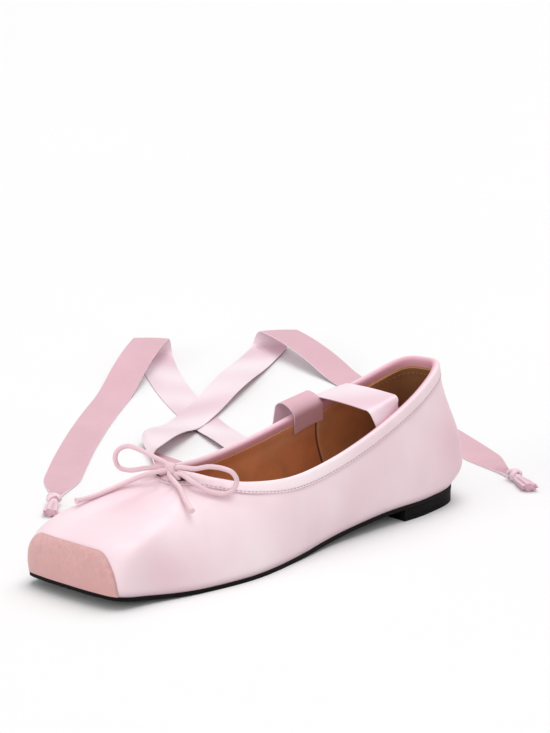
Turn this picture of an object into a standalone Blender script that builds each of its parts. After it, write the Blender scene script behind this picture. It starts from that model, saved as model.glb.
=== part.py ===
"""Ballet flat for the left foot: satin upper with a square toe, bound topline,
cord bow at the throat, ankle ribbons laid down, insole, thin outsole and a low
heel block.

Frame: toe towards -Y, heel towards +Y, outer (lateral) side +X, up +Z.  The
origin is on the floor under the middle of the shoe's own box.  Tables are in
millimetres; everything is scaled to metres where the meshes are made.
"""

import math

import bpy
import numpy as np
from mathutils import Matrix, Vector

MM = 0.001

# ------------------------------------------------------------------ sizes
HALF = 125.0          # half the length that stations are counted over
HEEL_RISE = 6.1       # floor to the sole's underside over the heel block
TOE_SPRING = 5.0      # lift of the sole's underside at the tip
HEEL_BREAST = 52.0    # station of the heel block's front face
SOLE_THICK = 2.4
SOLE_MARGIN = 0.6     # the sole's edge stands this far out of the upper
LIP_DEEP = 14.0       # depth over which the throat's edge is drawn up
WALL = 2.0            # satin, backing and lining together
GAP = 0.3             # between neighbouring pieces
INSOLE_THICK = 2.2
BIND_THICK = 0.6
BIND_OUTER = 6.3      # depth of the topline binding outside
BIND_INNER = 4.6      # and inside
PATCH_GAP = 0.45
PATCH_THICK = 0.6
PATCH_HEIGHT = 19.5   # up the toe's front face, to its top edge
PATCH_ROUND = 6.0     # radius of the patch's two upper corners
CORD = 2.4            # the bow's round cord
KNOT_AT = (0.8, -59.2, 49.3)
RIBBON_WIDE = 19.0
RIBBON_THICK = 0.6
RIBBON_LONG = 680.0
AROUND = 4            # steps between two rows of the last
UP_OUTSIDE = 14
UP_INSIDE = 9

# The last, a row for each section, heel to toe.  A section fans out from the
# feather line, where upper meets sole, to the topline.
#   foot, out, inn      station of the foot of the section and its distances
#                       from the centre line, lateral and medial
#   top, t_out, t_in    the same at the topline
#   height, dip         the topline over the floor, and how much lower it is
#                       on the medial side
#   lip                 how far the drawn-up edge stands over that
#   rise, lean          how far the wall keeps straight up from the sole, and
#                       how far it leans out meanwhile
#   reach, drop         how far it comes down from the topline, outwards and
#                       downwards
#   swell               how much less it comes down on the medial side
#   crisp               how tightly it turns between the two
LAST_COLUMNS = ("name", "foot", "out", "inn", "top", "t_out", "t_in",
                "height", "dip", "lip", "rise", "lean", "reach", "drop", "swell",
                "crisp")
LAST = (
    ("heel_back", 2, 0, 0, 5.5, 0, 0, 68.5, 0.0, 0.0, 19.0, 14.0, 4.0, 25.0, 0.0, 1.2),
    ("heel_turn", 8.5, 19, 18, 10.5, 12, 12.5, 68.5, 1.5, 0.0, 19.0, 12.5, 4.0, 25.0, 0.0, 1.2),
    ("heel_side", 34, 27.5, 26.5, 33, 22, 22, 62.0, 4.2, 0.0, 18.0, 6.5, 3.0, 18.0, 0.0, 1.0),
    ("quarter", 70, 28.5, 26, 67, 27.5, 26, 51.5, 2.2, 0.0, 15.0, 4.0, 3.5, 14.0, 0.0, 1.0),
    ("waist", 105, 30.5, 25, 101, 29, 27.5, 43.0, 0.6, 0.0, 13.0, 3.5, 4.0, 10.0, 0.0, 1.0),
    ("instep", 138, 36.5, 30, 131, 28.5, 28, 38.9, 0.6, 0.3, 12.0, 3.0, 6.0, 9.0, 0.0, 1.0),
    ("ball", 168, 41, 37, 155, 23.5, 24, 39.3, 0.6, 1.3, 13.0, 2.0, 11.0, 6.0, 1.0, 1.1),
    ("vamp_side", 200, 38.5, 39, 169, 15.5, 16, 41.0, 0.2, 2.8, 15.0, 2.0, 18.0, 4.0, 3.2, 1.4),
    ("toe_side", 228, 33, 34, 176.5, 8, 8, 42.5, 0.0, 4.0, 18.0, 2.5, 30.0, 6.0, 5.6, 2.0),
    ("toe_corner", 246.5, 29, 29.6, 179.5, 4, 4, 43.0, 0.0, 4.2, 21.5, 3.2, 42.0, 11.0, 4.0, 2.8),
    ("toe_front", 250, 17, 17, 180.2, 2, 2, 43.0, 0.0, 4.2, 23.0, 1.5, 46.0, 11.5, 0.0, 4.0),
    ("toe_tip", 250.5, 0, 0, 180.5, 0, 0, 43.0, 0.0, 4.2, 23.5, 1.3, 48.0, 11.5, 0.0, 4.0),
)

# The ankle ribbons, from the topline outwards, a row for each stretch of the
# flat band, in millimetres and degrees.
#   run       its length; None is worked out, so that the next stretch ends on
#             the floor or, in the last row, so that the full length is made up
#   heading   plan direction at its end, from the heel (0) towards lateral
#   slope     climb of the band's line at its end
#   tilt      roll of the band about its line at its end; 180 is face down
RIBBON_COLUMNS = ("stretch", "run", "heading", "slope", "tilt")
RIBBON_MEDIAL = (
    ("over_lip", 15.0, -80.0, -78.0, 10.0),
    ("drop", None, -86.0, -80.0, 3.0),
    ("land", 30.0, -90.0, 0.0, 0.0),
    ("floor_out", 70.0, -84.0, 0.0, 0.0),
    ("diagonal_fold", 22.0, -24.0, 0.0, 180.0),
    ("settle", None, -25.0, -12.0, 180.0),
    ("floor_back", 24.0, -26.0, 0.0, 180.0),
    ("wave_up", 46.0, -28.0, 4.0, 184.0),
    ("wave_down", 56.0, -30.0, -4.0, 176.0),
    ("wave_end", 56.0, -31.0, 0.0, 180.0),
    ("turn_back", 16.0, 107.0, 0.0, 360.0),
    ("come_down", None, 107.5, -13.0, 360.0),
    ("floor_home", 30.0, 108.5, 0.0, 360.0),
    ("tail", None, 117.0, 0.0, 360.0),
)
RIBBON_LATERAL = (
    ("over_lip", 10.0, -78.0, -2.0, 14.0),
    ("cross", 43.0, -74.0, -8.0, 12.0),
    ("over_far_lip", 16.0, -74.0, -82.0, 6.0),
    ("drop", None, -74.0, -78.0, 2.0),
    ("land", 30.0, -73.0, 0.0, 0.0),
    ("wave_up", 40.0, -70.0, 4.0, 4.0),
    ("wave_down", 44.0, -66.0, -4.0, -4.0),
    ("wave_end", 40.0, -62.0, 0.0, 0.0),
    ("floor_out", 130.0, -50.0, 0.0, 0.0),
    ("turn_back", 16.0, -212.0, 0.0, 180.0),
    ("come_down", None, -212.5, -12.0, 180.0),
    ("floor_home", 30.0, -213.5, 0.0, 180.0),
    ("tail", None, -222.0, 0.0, 180.0),
)
# How far over the floor the ribbon lies after an open stretch: the medial one
# is laid over the lateral one after it settles.
RIBBON_RESTS = {"drop": 0.0, "settle": 1.2, "come_down": 0.0}


# ------------------------------------------------------- curves and sections
def row_dicts(columns, rows):
    return [dict(zip(columns, row)) for row in rows]


def ease(start, end, x):
    t = np.clip((x - start) / (end - start), 0.0, 1.0)
    return t * t * (3.0 - 2.0 * t)


def underside(station):
    """Height of the sole's underside: heel, arch, flat forefoot, toe spring."""
    lift = np.clip((station - 195.0) / 55.0, 0.0, None) ** 1.8
    return HEEL_RISE * (1.0 - ease(48.0, 150.0, station)) + TOE_SPRING * lift


def closed_curve(rows, steps, key=2):
    """Smooth closed curve through the rows (centripetal Catmull-Rom)."""
    rows = np.asarray(rows, float)
    n = len(rows)
    gap = [np.linalg.norm(rows[(i + 1) % n][:key] - rows[i][:key]) ** 0.5 + 1e-9
           for i in range(n)]
    out = []
    for i in range(n):
        p = [rows[(i + k) % n] for k in (-1, 0, 1, 2)]
        t = np.cumsum([0.0] + [gap[(i + k) % n] for k in (-1, 0, 1)])
        for j in range(steps):
            x = t[1] + (t[2] - t[1]) * j / steps
            a = [((t[k + 1] - x) * p[k] + (x - t[k]) * p[k + 1]) / (t[k + 1] - t[k])
                 for k in range(3)]
            b = [((t[k + 2] - x) * a[k] + (x - t[k]) * a[k + 1]) / (t[k + 2] - t[k])
                 for k in range(2)]
            out.append(((t[2] - x) * b[0] + (x - t[1]) * b[1]) / (t[2] - t[1]))
    return np.array(out)


def last_rings(steps=AROUND):
    """Columns round the shoe: heel back, lateral side, toe tip, medial side."""
    rows = row_dicts(LAST_COLUMNS, LAST)

    def side(r, lateral):
        x, tx = (r["out"], r["t_out"]) if lateral else (-r["inn"], -r["t_in"])
        height = r["height"] if lateral else r["height"] - r["dip"]
        drop = r["drop"] if lateral else r["drop"] - r["swell"]
        return [x, HALF - r["foot"], tx, HALF - r["top"], height, r["lip"],
                r["rise"], r["lean"], r["reach"], drop, r["crisp"]]

    loop = [side(r, True) for r in rows]
    loop += [side(r, False) for r in rows[-2:0:-1]]
    return closed_curve(loop, steps)


def outward(ring):
    """Unit vectors in plan, pointing out of a ring of plan points."""
    along = np.roll(ring, -1, 0) - np.roll(ring, 1, 0)
    out = np.c_[along[:, 1], -along[:, 0]]
    out /= np.linalg.norm(out, axis=1)[:, None]
    if (out * (ring - ring.mean(0))).sum() < 0:
        out = -out
    return out


def last_sections(fine=72, steps=AROUND):
    """Each section as a run of points from feather line to topline."""
    g = last_rings(steps)
    foot = np.c_[g[:, :2], underside(HALF - g[:, 1]) + SOLE_THICK + GAP]
    top = g[:, 2:5]
    out = np.c_[outward(g[:, :2]), np.zeros(len(g))]
    fan = foot - top
    fan[:, 2] = 0.0
    fan += 8.0 * out
    fan /= np.linalg.norm(fan, axis=1)[:, None]
    up = np.array([0.0, 0.0, 1.0])
    lip, rise, lean, reach, drop, crisp = (g[:, k:k + 1] for k in range(5, 11))
    low = foot + rise * up + lean * out
    high = top + reach * fan - drop * up
    points = []
    for t in np.linspace(0.0, 1.0, fine + 1):
        w = ((1 - t) ** 3, 3 * (1 - t) ** 2 * t * crisp,
             3 * (1 - t) * t * t * crisp, t ** 3)
        points.append((w[0] * foot + w[1] * low + w[2] * high + w[3] * top)
                      / (w[0] + w[1] + w[2] + w[3]))
    points = np.array(points)
    step = np.linalg.norm(np.diff(points, axis=0), axis=2)
    below = np.vstack([np.cumsum(step[::-1], axis=0)[::-1], 0.0 * step[:1]])
    drawn = np.clip(1.0 - below / LIP_DEEP, 0.0, 1.0) ** 1.5
    points[:, :, 2] += lip[:, 0] * drawn
    return points


def normals(grid):
    """Outward unit normals of a grid of levels by ring points."""
    up = np.gradient(grid, axis=0)
    along = np.roll(grid, -1, 1) - np.roll(grid, 1, 1)
    n = np.cross(along, up)
    n /= np.linalg.norm(n, axis=2)[:, :, None]
    middle = grid.mean(axis=(0, 1))
    level = len(grid) // 4
    if (n[level] * (grid[level] - middle)).sum() < 0:
        n = -n
    return n


class Wall:
    """The last's surface, with heights measured along each section."""

    def __init__(self, steps=AROUND):
        self.grid = last_sections(steps=steps)
        self.normal = normals(self.grid)
        step = np.linalg.norm(np.diff(self.grid, axis=0), axis=2)
        self.arc = np.vstack([np.zeros(step.shape[1]), np.cumsum(step, axis=0)])
        self.full = self.arc[-1]
        self.count = self.grid.shape[1]

    def at(self, i, height, off=0.0):
        """Point on section i at this height along it, moved out by off."""
        p = np.array([np.interp(height, self.arc[:, i], self.grid[:, i, k])
                      for k in range(3)])
        n = np.array([np.interp(height, self.arc[:, i], self.normal[:, i, k])
                      for k in range(3)])
        return p + off * n / np.linalg.norm(n)

    def ring(self, heights, off=0.0):
        return np.array([self.at(i, heights[i], off) for i in range(self.count)])


# ------------------------------------------------------------------- meshes
MATERIALS = {}


def material(name, colour, rough, sheen=0.0):
    m = bpy.data.materials.new(name)
    m.use_nodes = True
    s = m.node_tree.nodes["Principled BSDF"]
    s.inputs["Base Color"].default_value = (*colour, 1.0)
    s.inputs["Roughness"].default_value = rough
    s.inputs["Metallic"].default_value = 0.0
    s.inputs["Sheen Weight"].default_value = sheen
    MATERIALS[name] = m


def solid(name, verts, faces, mat, smooth=35.0):
    """A closed mesh object; faces are turned outwards."""
    mesh = bpy.data.meshes.new(name)
    mesh.from_pydata([tuple(np.asarray(v) * MM) for v in verts], [], faces)
    mesh.validate()
    c = np.zeros(len(mesh.vertices) * 3)
    mesh.vertices.foreach_get("co", c)
    c = c.reshape(-1, 3)
    volume = 0.0
    for p in mesh.polygons:
        v = [c[k] for k in p.vertices]
        for a, b in zip(v[1:-1], v[2:]):
            volume += np.dot(v[0], np.cross(a, b))
    if volume < 0:
        mesh.flip_normals()
    mesh.shade_smooth()
    mesh.set_sharp_from_angle(angle=math.radians(smooth))
    mesh.materials.append(MATERIALS[mat])
    obj = bpy.data.objects.new(name, mesh)
    bpy.context.scene.collection.objects.link(obj)
    return obj


def skin(name, rings, mat, smooth=35.0):
    """Rings joined in a loop, the last back to the first: a closed tube."""
    m, n = len(rings), len(rings[0])
    verts = [p for ring in rings for p in ring]
    faces = [(a * n + i, a * n + (i + 1) % n,
              ((a + 1) % m) * n + (i + 1) % n, ((a + 1) % m) * n + i)
             for a in range(m) for i in range(n)]
    return solid(name, verts, faces, mat, smooth)


def loft(name, rings, mat, smooth=35.0):
    """Rings joined in a row, with the first and last one capped."""
    m, n = len(rings), len(rings[0])
    verts = [p for ring in rings for p in ring]
    faces = [(a * n + i, a * n + (i + 1) % n,
              (a + 1) * n + (i + 1) % n, (a + 1) * n + i)
             for a in range(m - 1) for i in range(n)]
    faces += [tuple(range(n))[::-1], tuple((m - 1) * n + i for i in range(n))]
    return solid(name, verts, faces, mat, smooth)


def slab(name, plan, top, bottom, mat):
    """A plate over a plan ring that starts at the heel's back and has the two
    sides' points in pairs, with top and bottom heights by station."""
    n = len(plan)
    station = HALF - plan[:, 1]
    verts = [(*p, z) for p, z in zip(plan, top(station))]
    verts += [(*p, z) for p, z in zip(plan, bottom(station))]
    faces = [(i, (i + 1) % n, n + (i + 1) % n, n + i) for i in range(n)]
    half = n // 2
    for base, turn in ((0, 1), (n, -1)):
        rungs = [(1, 2, n - 2, n - 1)] if half > 1 else []
        rungs = [(i, i + 1, n - i - 1, n - i) for i in range(1, half - 1)]
        rungs += [(0, 1, n - 1), (half - 1, half, half + 1)]
        faces += [tuple(base + k for k in r)[::-turn] for r in rungs]
    return solid(name, verts, faces, mat, 40.0)


# ------------------------------------------------------------ upper and sole
def make_upper(wall):
    full = wall.full - GAP - BIND_THICK
    rings = [wall.ring(full * k / UP_OUTSIDE) for k in range(UP_OUTSIDE + 1)]
    rings += [wall.ring(full * k / UP_INSIDE, -WALL)
              for k in range(UP_INSIDE, -1, -1)]
    # the foot of the wall stays flat on the sole
    for i in range(wall.count):
        rings[-1][i][2] = rings[0][i][2]
    return skin("upper", rings, "satin", 50.0)


def make_binding(wall):
    """A band folded over the topline: down the outside, down the inside."""
    cut = wall.full - GAP - BIND_THICK
    near, far = GAP, GAP + BIND_THICK
    section = [(-BIND_OUTER, far), (-BIND_OUTER / 2, far), (-0.4, far),
               (far, 0.2), (far, -WALL - 0.2),
               (-0.4, -WALL - far), (-BIND_INNER, -WALL - far),
               (-BIND_INNER, -WALL - near), (-0.4, -WALL - near),
               (near, -WALL - near), (near, near),
               (-0.4, near), (-BIND_OUTER / 2, near), (-BIND_OUTER, near)]
    rings = []
    for along, off in section:
        ring = wall.ring(cut + min(along, 0.0), off)
        if along > 0:
            up = wall.ring(cut) - wall.ring(cut - 1.0)
            ring += along * up / np.linalg.norm(up, axis=1)[:, None]
        rings.append(ring)
    return skin("topline_binding", rings, "satin_binding", 60.0)


def make_patch(wall):
    """The panel over the toe's front face, from corner to corner."""
    rows = [r[0] for r in LAST]
    tip = rows.index("toe_tip") * AROUND
    reach = tip - rows.index("toe_corner") * AROUND
    columns = range(tip - reach, tip + reach + 1)
    width = [0.0]
    for a, b in zip(columns, columns[1:]):
        width.append(width[-1] + np.linalg.norm(wall.at(a, 15.0) - wall.at(b, 15.0)))
    levels = 7
    layers = []
    for off in (PATCH_GAP, PATCH_GAP + PATCH_THICK):
        layer = []
        for k in range(levels + 1):
            row = []
            for i, w in zip(columns, width):
                edge = min(w, width[-1] - w)
                slack = max(PATCH_ROUND - edge, 0.0)
                tall = PATCH_HEIGHT - PATCH_ROUND + math.sqrt(
                    max(PATCH_ROUND ** 2 - slack ** 2, 0.0))
                row.append(wall.at(i, tall * k / levels, off))
            layer.append(row)
        layers.append(layer)
    n = len(width)
    size = (levels + 1) * n
    verts = [p for layer in layers for row in layer for p in row]
    faces = []
    for k in range(levels):
        for i in range(n - 1):
            q = (k * n + i, k * n + i + 1, (k + 1) * n + i + 1, (k + 1) * n + i)
            faces += [q[::-1], tuple(size + v for v in q)]
    edge = [k for k in range(n)]
    edge += [k * n + n - 1 for k in range(1, levels + 1)]
    edge += [levels * n + i for i in range(n - 2, -1, -1)]
    edge += [k * n for k in range(levels - 1, 0, -1)]
    faces += [(a, b, size + b, size + a) for a, b in zip(edge, edge[1:] + edge[:1])]
    return solid("toe_patch", verts, faces, "rose_suede", 50.0)


def plan_ring(off):
    ring = last_rings()[:, :2]
    return ring + off * outward(ring)


def make_outsole():
    return slab("outsole", plan_ring(SOLE_MARGIN),
                lambda s: underside(s) + SOLE_THICK, underside, "sole_rubber")


def make_insole():
    base = SOLE_THICK + GAP
    return slab("insole", plan_ring(-WALL - GAP),
                lambda s: underside(s) + base + INSOLE_THICK,
                lambda s: underside(s) + base, "tan_leather")


def make_heel_block():
    ring = plan_ring(SOLE_MARGIN - 0.2)
    half = len(ring) // 2
    station = HALF - ring[:, 1]
    k = int(np.searchsorted(station[:half], HEEL_BREAST))

    def on_breast(a, b):
        t = (HEEL_BREAST - (HALF - a[1])) / (a[1] - b[1])
        return a + t * (b - a)

    plan = list(ring[:k]) + [on_breast(ring[k - 1], ring[k])]
    back = [on_breast(ring[-k + 1], ring[-k])] + list(ring[-k + 1:])
    # the breast is hollowed by a millimetre in the middle
    middle = (plan[-1] + back[0]) / 2 + np.array([0.0, 1.0])
    plan = np.array(plan + [middle] + back)
    return slab("heel_block", plan, lambda s: underside(s) - GAP,
                lambda s: 0.0 * s, "sole_rubber")


# -------------------------------------------------------------------- ribbons
def band_frame(heading, slope, tilt):
    """Line and width vectors of a band with this heading, slope and tilt."""
    h, c, t = (math.radians(a) for a in (heading, slope, tilt))
    line = Vector((math.sin(h) * math.cos(c), math.cos(h) * math.cos(c), math.sin(c)))
    level = Vector((math.cos(h), -math.sin(h), 0.0))
    return line, level * math.cos(t) + level.cross(line) * math.sin(t)


def walk(start, line, width, rows, step=1.0):
    """Follow a flat band: its points, lines, width vectors and row numbers.
    Along each row it turns evenly about one axis, as a bent strip does."""
    p, u = Vector(start), Vector(line).normalized()
    w = Vector(width)
    w = (w - u * w.dot(u)).normalized()
    track = [(p.copy(), u.copy(), w.copy(), 0)]
    for k, row in enumerate(rows):
        u1, w1 = band_frame(row["heading"], row["slope"], row["tilt"])
        before = Matrix((u, w, u.cross(w)))
        after = Matrix((u1, w1, u1.cross(w1))).transposed()
        axis, angle = (after @ before).to_quaternion().to_axis_angle()
        if angle > math.pi:
            axis, angle = -axis, 2 * math.pi - angle
        if angle > 3.0 and axis.cross(u).z < 0:
            axis, angle = -axis, 2 * math.pi - angle
        parts = max(int(round(row["run"] / step)), 1)
        half = Matrix.Rotation(angle / parts / 2, 3, axis)
        for _ in range(parts):
            u, w = half @ u, half @ w
            p = p + u * (row["run"] / parts)
            u, w = half @ u, half @ w
            track.append((p.copy(), u.copy(), w.copy(), k))
    return track


def solve_runs(start, line, width, table, floor, total):
    """The rows with every run filled in: each open one so that the row after
    it ends at the floor height, and the last one up to the total length."""
    rows = row_dicts(RIBBON_COLUMNS, table)
    for k, row in enumerate(rows[:-1]):
        if row["run"] is None:
            low, high = 1.0, 90.0
            for _ in range(40):
                row["run"] = (low + high) / 2
                end = walk(start, line, width, rows[:k + 2])[-1][0]
                if end.z > floor + RIBBON_RESTS[row["stretch"]]:
                    low = row["run"]
                else:
                    high = row["run"]
    rows[-1]["run"] = total - sum(r["run"] for r in rows[:-1])
    return rows


def ribbon_width(along):
    """The band narrows to a bunch where it enters its end knot."""
    left = RIBBON_LONG - along
    return 4.0 + (RIBBON_WIDE - 4.0) * float(ease(0.0, 42.0, left))


def ribbon_thick(along):
    left = RIBBON_LONG - along
    return RIBBON_THICK + 1.6 * (1.0 - float(ease(0.0, 30.0, left)))


def make_ribbon(name, start, line, width, table):
    rows = solve_runs(start, line, width, table,
                      RIBBON_THICK / 2 + 0.15, RIBBON_LONG)
    track = walk(start, line, width, rows)
    rings, since, along = [], 99.0, 0.0
    for i, (p, u, w, _) in enumerate(track):
        if i:
            q, v, x, _ = track[i - 1]
            bend = math.degrees(u.angle(v, 0.0)) + math.degrees(w.angle(x, 0.0))
            along += (p - q).length
            since += (p - q).length / 26.0 + bend / 22.0
        if since >= 1.0 or i == len(track) - 1:
            since = 0.0
            a = w * ribbon_width(along) / 2
            b = u.cross(w) * ribbon_thick(along) / 2
            corners = [p + s * a + t * b for s, t in ((-1, -1), (1, -1), (1, 1), (-1, 1))]
            lift = Vector((0, 0, max(0.0, 0.1 - min(c.z for c in corners))))
            rings.append([tuple(c + lift) for c in corners])
    loft(name, rings, "satin_ribbon", 40.0)
    return track[-1][0], track[-1][1]


def make_ribbon_end(name, at, line):
    """The knot at a ribbon's end and the pleated stub past it."""
    line = Vector((line.x, line.y, 0.0)).normalized()
    side = Vector((-line.y, line.x, 0.0))
    # along, half width, half height, depth of the pleats
    rows = ((0.8, 2.2, 1.4, 0.0), (1.5, 3.6, 2.6, 0.0), (3.5, 4.4, 3.3, 0.0),
            (6.0, 4.4, 3.4, 0.0), (8.0, 3.5, 2.8, 0.0), (9.5, 2.4, 1.9, 0.1),
            (13.0, 3.2, 2.2, 0.3), (19.0, 4.2, 2.4, 0.5), (26.0, 5.2, 2.5, 0.6))
    rings = []
    count = 20
    for along, wide, high, pleat in rows:
        ring = []
        for k in range(count):
            a = 2 * math.pi * k / count
            r = 1.0 - pleat * 0.5 * (1.0 - math.cos(5 * a)) * 0.6
            p = Vector((at.x, at.y, 0.0)) + line * along
            p += side * (wide * r * math.cos(a))
            p.z = 0.15 + high + high * r * math.sin(a)
            ring.append(tuple(p))
        rings.append(ring)
    loft(name, rings, "satin_ribbon", 40.0)


def lip_frame(wall, station, medial):
    """Middle of the bound topline at a station, its direction and its up."""
    rows = range(wall.count // 2, wall.count) if medial else range(wall.count // 2)
    i = min(rows, key=lambda k: abs(HALF - wall.at(k, wall.full[k])[1] - station))
    step = -1 if medial else 1
    a, b = (wall.at(k, wall.full[k], -WALL / 2) for k in (i + step, i - step))
    along = Vector(b - a).normalized()          # towards the heel
    up = Vector(wall.at(i, wall.full[i]) - wall.at(i, wall.full[i] - 3.0))
    up = (up - along * up.dot(along)).normalized()
    middle = Vector(wall.at(i, wall.full[i], -WALL / 2))
    return middle, along, up


# ------------------------------------------------------------------ cord bow
def smooth_line(points, per=4):
    """Open centripetal Catmull-Rom through the points."""
    p = [np.array(q, float) for q in points]
    p = [2 * p[0] - p[1]] + p + [2 * p[-1] - p[-2]]
    out = []
    for i in range(1, len(p) - 2):
        q = p[i - 1:i + 3]
        t = np.cumsum([0.0] + [np.linalg.norm(q[k + 1] - q[k]) ** 0.5
                               for k in range(3)])
        for j in range(per):
            x = t[1] + (t[2] - t[1]) * j / per
            a = [((t[k + 1] - x) * q[k] + (x - t[k]) * q[k + 1]) / (t[k + 1] - t[k])
                 for k in range(3)]
            b = [((t[k + 2] - x) * a[k] + (x - t[k]) * a[k + 1]) / (t[k + 2] - t[k])
                 for k in range(2)]
            out.append(((t[2] - x) * b[0] + (x - t[1]) * b[1]) / (t[2] - t[1]))
    out.append(p[-2])
    return out


def cord(name, points, mat):
    curve = bpy.data.curves.new(name, "CURVE")
    curve.dimensions = "3D"
    curve.bevel_depth = CORD / 2 * MM
    curve.bevel_resolution = 2
    curve.use_fill_caps = True
    spline = curve.splines.new("POLY")
    line = smooth_line(points)
    spline.points.add(len(line) - 1)
    for s, p in zip(spline.points, line):
        s.co = (*(p * MM), 1.0)
    curve.materials.append(MATERIALS[mat])
    obj = bpy.data.objects.new(name, curve)
    bpy.context.scene.collection.objects.link(obj)
    return obj


# Bow loops and tails relative to the knot: along X, along Y, height.
BOW_LOOP_LEFT = ((-3.5, 0.7, 1.0), (-11.8, -0.8, 3.6), (-20.8, -1.3, 5.3),
                 (-27.8, -1.8, 5.5), (-30.8, -4.8, 3.5), (-31.8, -5.8, -0.4),
                 (-30.8, -4.2, -5.0), (-26.8, -1.5, -6.2), (-16.8, -0.6, -3.4),
                 (-8.3, 1.0, -1.6), (-3.5, 0.4, -1.9))
BOW_LOOP_RIGHT = ((3.5, 0.9, 0.8), (10.2, 5.6, 0.5), (15.7, 9.6, 1.8),
                  (20.7, 14.1, 0.9), (24.2, 16.7, -1.0), (25.7, 17.9, -4.9),
                  (25.2, 15.7, -9.0), (23.7, 10.8, -10.1), (19.7, 5.4, -8.4),
                  (13.8, 1.4, -4.8), (6.4, 0.7, -2.1), (3.5, -0.3, -1.9))
BOW_TAIL_LEFT = ((-2.3, -2.7, -1.1), (-9.3, -7.3, -2.9), (-14.8, -13.2, -5.7),
                 (-18.8, -21.7, -9.6), (-21.3, -30.5, -11.8), (-22.8, -39.9, -12.4))
BOW_TAIL_RIGHT = ((1.7, -2.7, -2.4), (5.3, -3.6, -4.2), (9.5, -4.1, -6.5),
                  (20.1, -10.2, -9.9), (26.4, -12.4, -12.9))


def make_bow():
    x, y, z = KNOT_AT
    loft("bow_knot", [
        [(x + along, y + r * math.cos(a), z + r * 1.04 * math.sin(a))
         for a in (2 * math.pi * k / 16 for k in range(16))]
        for along, r in ((-2.7, 1.2), (-2.0, 2.1), (-1.0, 2.5), (0.0, 2.6),
                         (1.0, 2.5), (2.0, 2.1), (2.7, 1.2))], "satin_cord")
    for name, route in (("bow_loop_left", BOW_LOOP_LEFT),
                        ("bow_loop_right", BOW_LOOP_RIGHT),
                        ("bow_tail_left", BOW_TAIL_LEFT),
                        ("bow_tail_right", BOW_TAIL_RIGHT)):
        cord(name, [(x + a, y + b, z + c) for a, b, c in route], "satin_cord")


# ------------------------------------------------------------------- assembly
def centre():
    """Put the origin on the floor under the middle of the shoe's own box."""
    bpy.context.view_layer.update()
    shoe = [o for o in bpy.data.objects if not o.name.startswith(("bow", "ribbon"))]
    corners = np.array([list(o.matrix_world @ Vector(c))
                        for o in shoe for c in o.bound_box])
    low, high = corners.min(0), corners.max(0)
    for obj in bpy.data.objects:
        obj.location = (-(low[0] + high[0]) / 2, -(low[1] + high[1]) / 2, 0.0)


def main():
    for obj in list(bpy.data.objects):
        bpy.data.objects.remove(obj, do_unlink=True)
    material("satin", (0.86, 0.67, 0.73), 0.42, 0.3)
    material("satin_binding", (0.84, 0.64, 0.70), 0.45, 0.3)
    material("satin_ribbon", (0.84, 0.60, 0.67), 0.38, 0.3)
    material("satin_cord", (0.82, 0.58, 0.63), 0.5, 0.3)
    material("rose_suede", (0.66, 0.38, 0.38), 0.9, 0.5)
    material("tan_leather", (0.42, 0.20, 0.09), 0.55)
    material("sole_rubber", (0.02, 0.018, 0.018), 0.6)
    wall = Wall()
    make_upper(wall)
    make_binding(wall)
    make_patch(wall)
    make_outsole()
    make_heel_block()
    make_insole()
    make_bow()
    for name, medial, table, lip in (
            ("ribbon_medial", True, RIBBON_MEDIAL, 70.0),
            ("ribbon_lateral", False, RIBBON_LATERAL, 58.0)):
        middle, along, up = lip_frame(wall, lip, medial)
        start = middle + up * (GAP + 0.2)
        at, line = make_ribbon(name, start, up, along, table)
        make_ribbon_end(name.replace("ribbon", "ribbon_end"), at, line)
    centre()


main()
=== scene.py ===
"""Looks of a satin ballet flat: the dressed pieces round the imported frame."""

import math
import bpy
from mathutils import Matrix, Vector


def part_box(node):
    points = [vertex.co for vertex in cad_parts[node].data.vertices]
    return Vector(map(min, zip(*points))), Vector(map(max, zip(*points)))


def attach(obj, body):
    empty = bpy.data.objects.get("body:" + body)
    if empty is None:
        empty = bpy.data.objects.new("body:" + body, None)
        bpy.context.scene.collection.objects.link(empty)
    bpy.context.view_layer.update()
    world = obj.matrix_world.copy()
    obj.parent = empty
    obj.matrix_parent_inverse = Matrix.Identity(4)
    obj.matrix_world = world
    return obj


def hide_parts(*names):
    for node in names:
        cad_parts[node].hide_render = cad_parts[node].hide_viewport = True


bl_info = {
    "name": "Ballet flat",
    "version": (1, 0, 0),
    "blender": (4, 5, 0),
    "location": "3D View > Sidebar > Ballet flat",
    "description": "Satin ballet flat with a cord bow and ankle ribbons",
    "category": "Object",
}

import bmesh
import bpy
import numpy as np
from bpy.props import FloatProperty, FloatVectorProperty, IntProperty, PointerProperty
from bpy.types import Operator, Panel, PropertyGroup
from mathutils import Matrix, Vector

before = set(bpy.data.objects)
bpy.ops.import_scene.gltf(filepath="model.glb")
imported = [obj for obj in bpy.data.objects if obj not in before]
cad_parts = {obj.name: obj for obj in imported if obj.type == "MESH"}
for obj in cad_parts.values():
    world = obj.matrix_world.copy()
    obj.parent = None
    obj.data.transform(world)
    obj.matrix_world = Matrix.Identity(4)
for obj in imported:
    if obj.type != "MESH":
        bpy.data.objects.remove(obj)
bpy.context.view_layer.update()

MM = 0.001
SATIN_SHELL = 0.0008      # the sheets' thickness in metres
LINING_LEATHER = 0.0007
SUEDE = 0.0005
# thickness of the near-black sheet of painted shade in each casing slit
SLIT_SHADE_SHEET = 0.0003
SLIVER = 0.00001          # anything finer than this is welded away
SHARP = math.radians(24)

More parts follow.
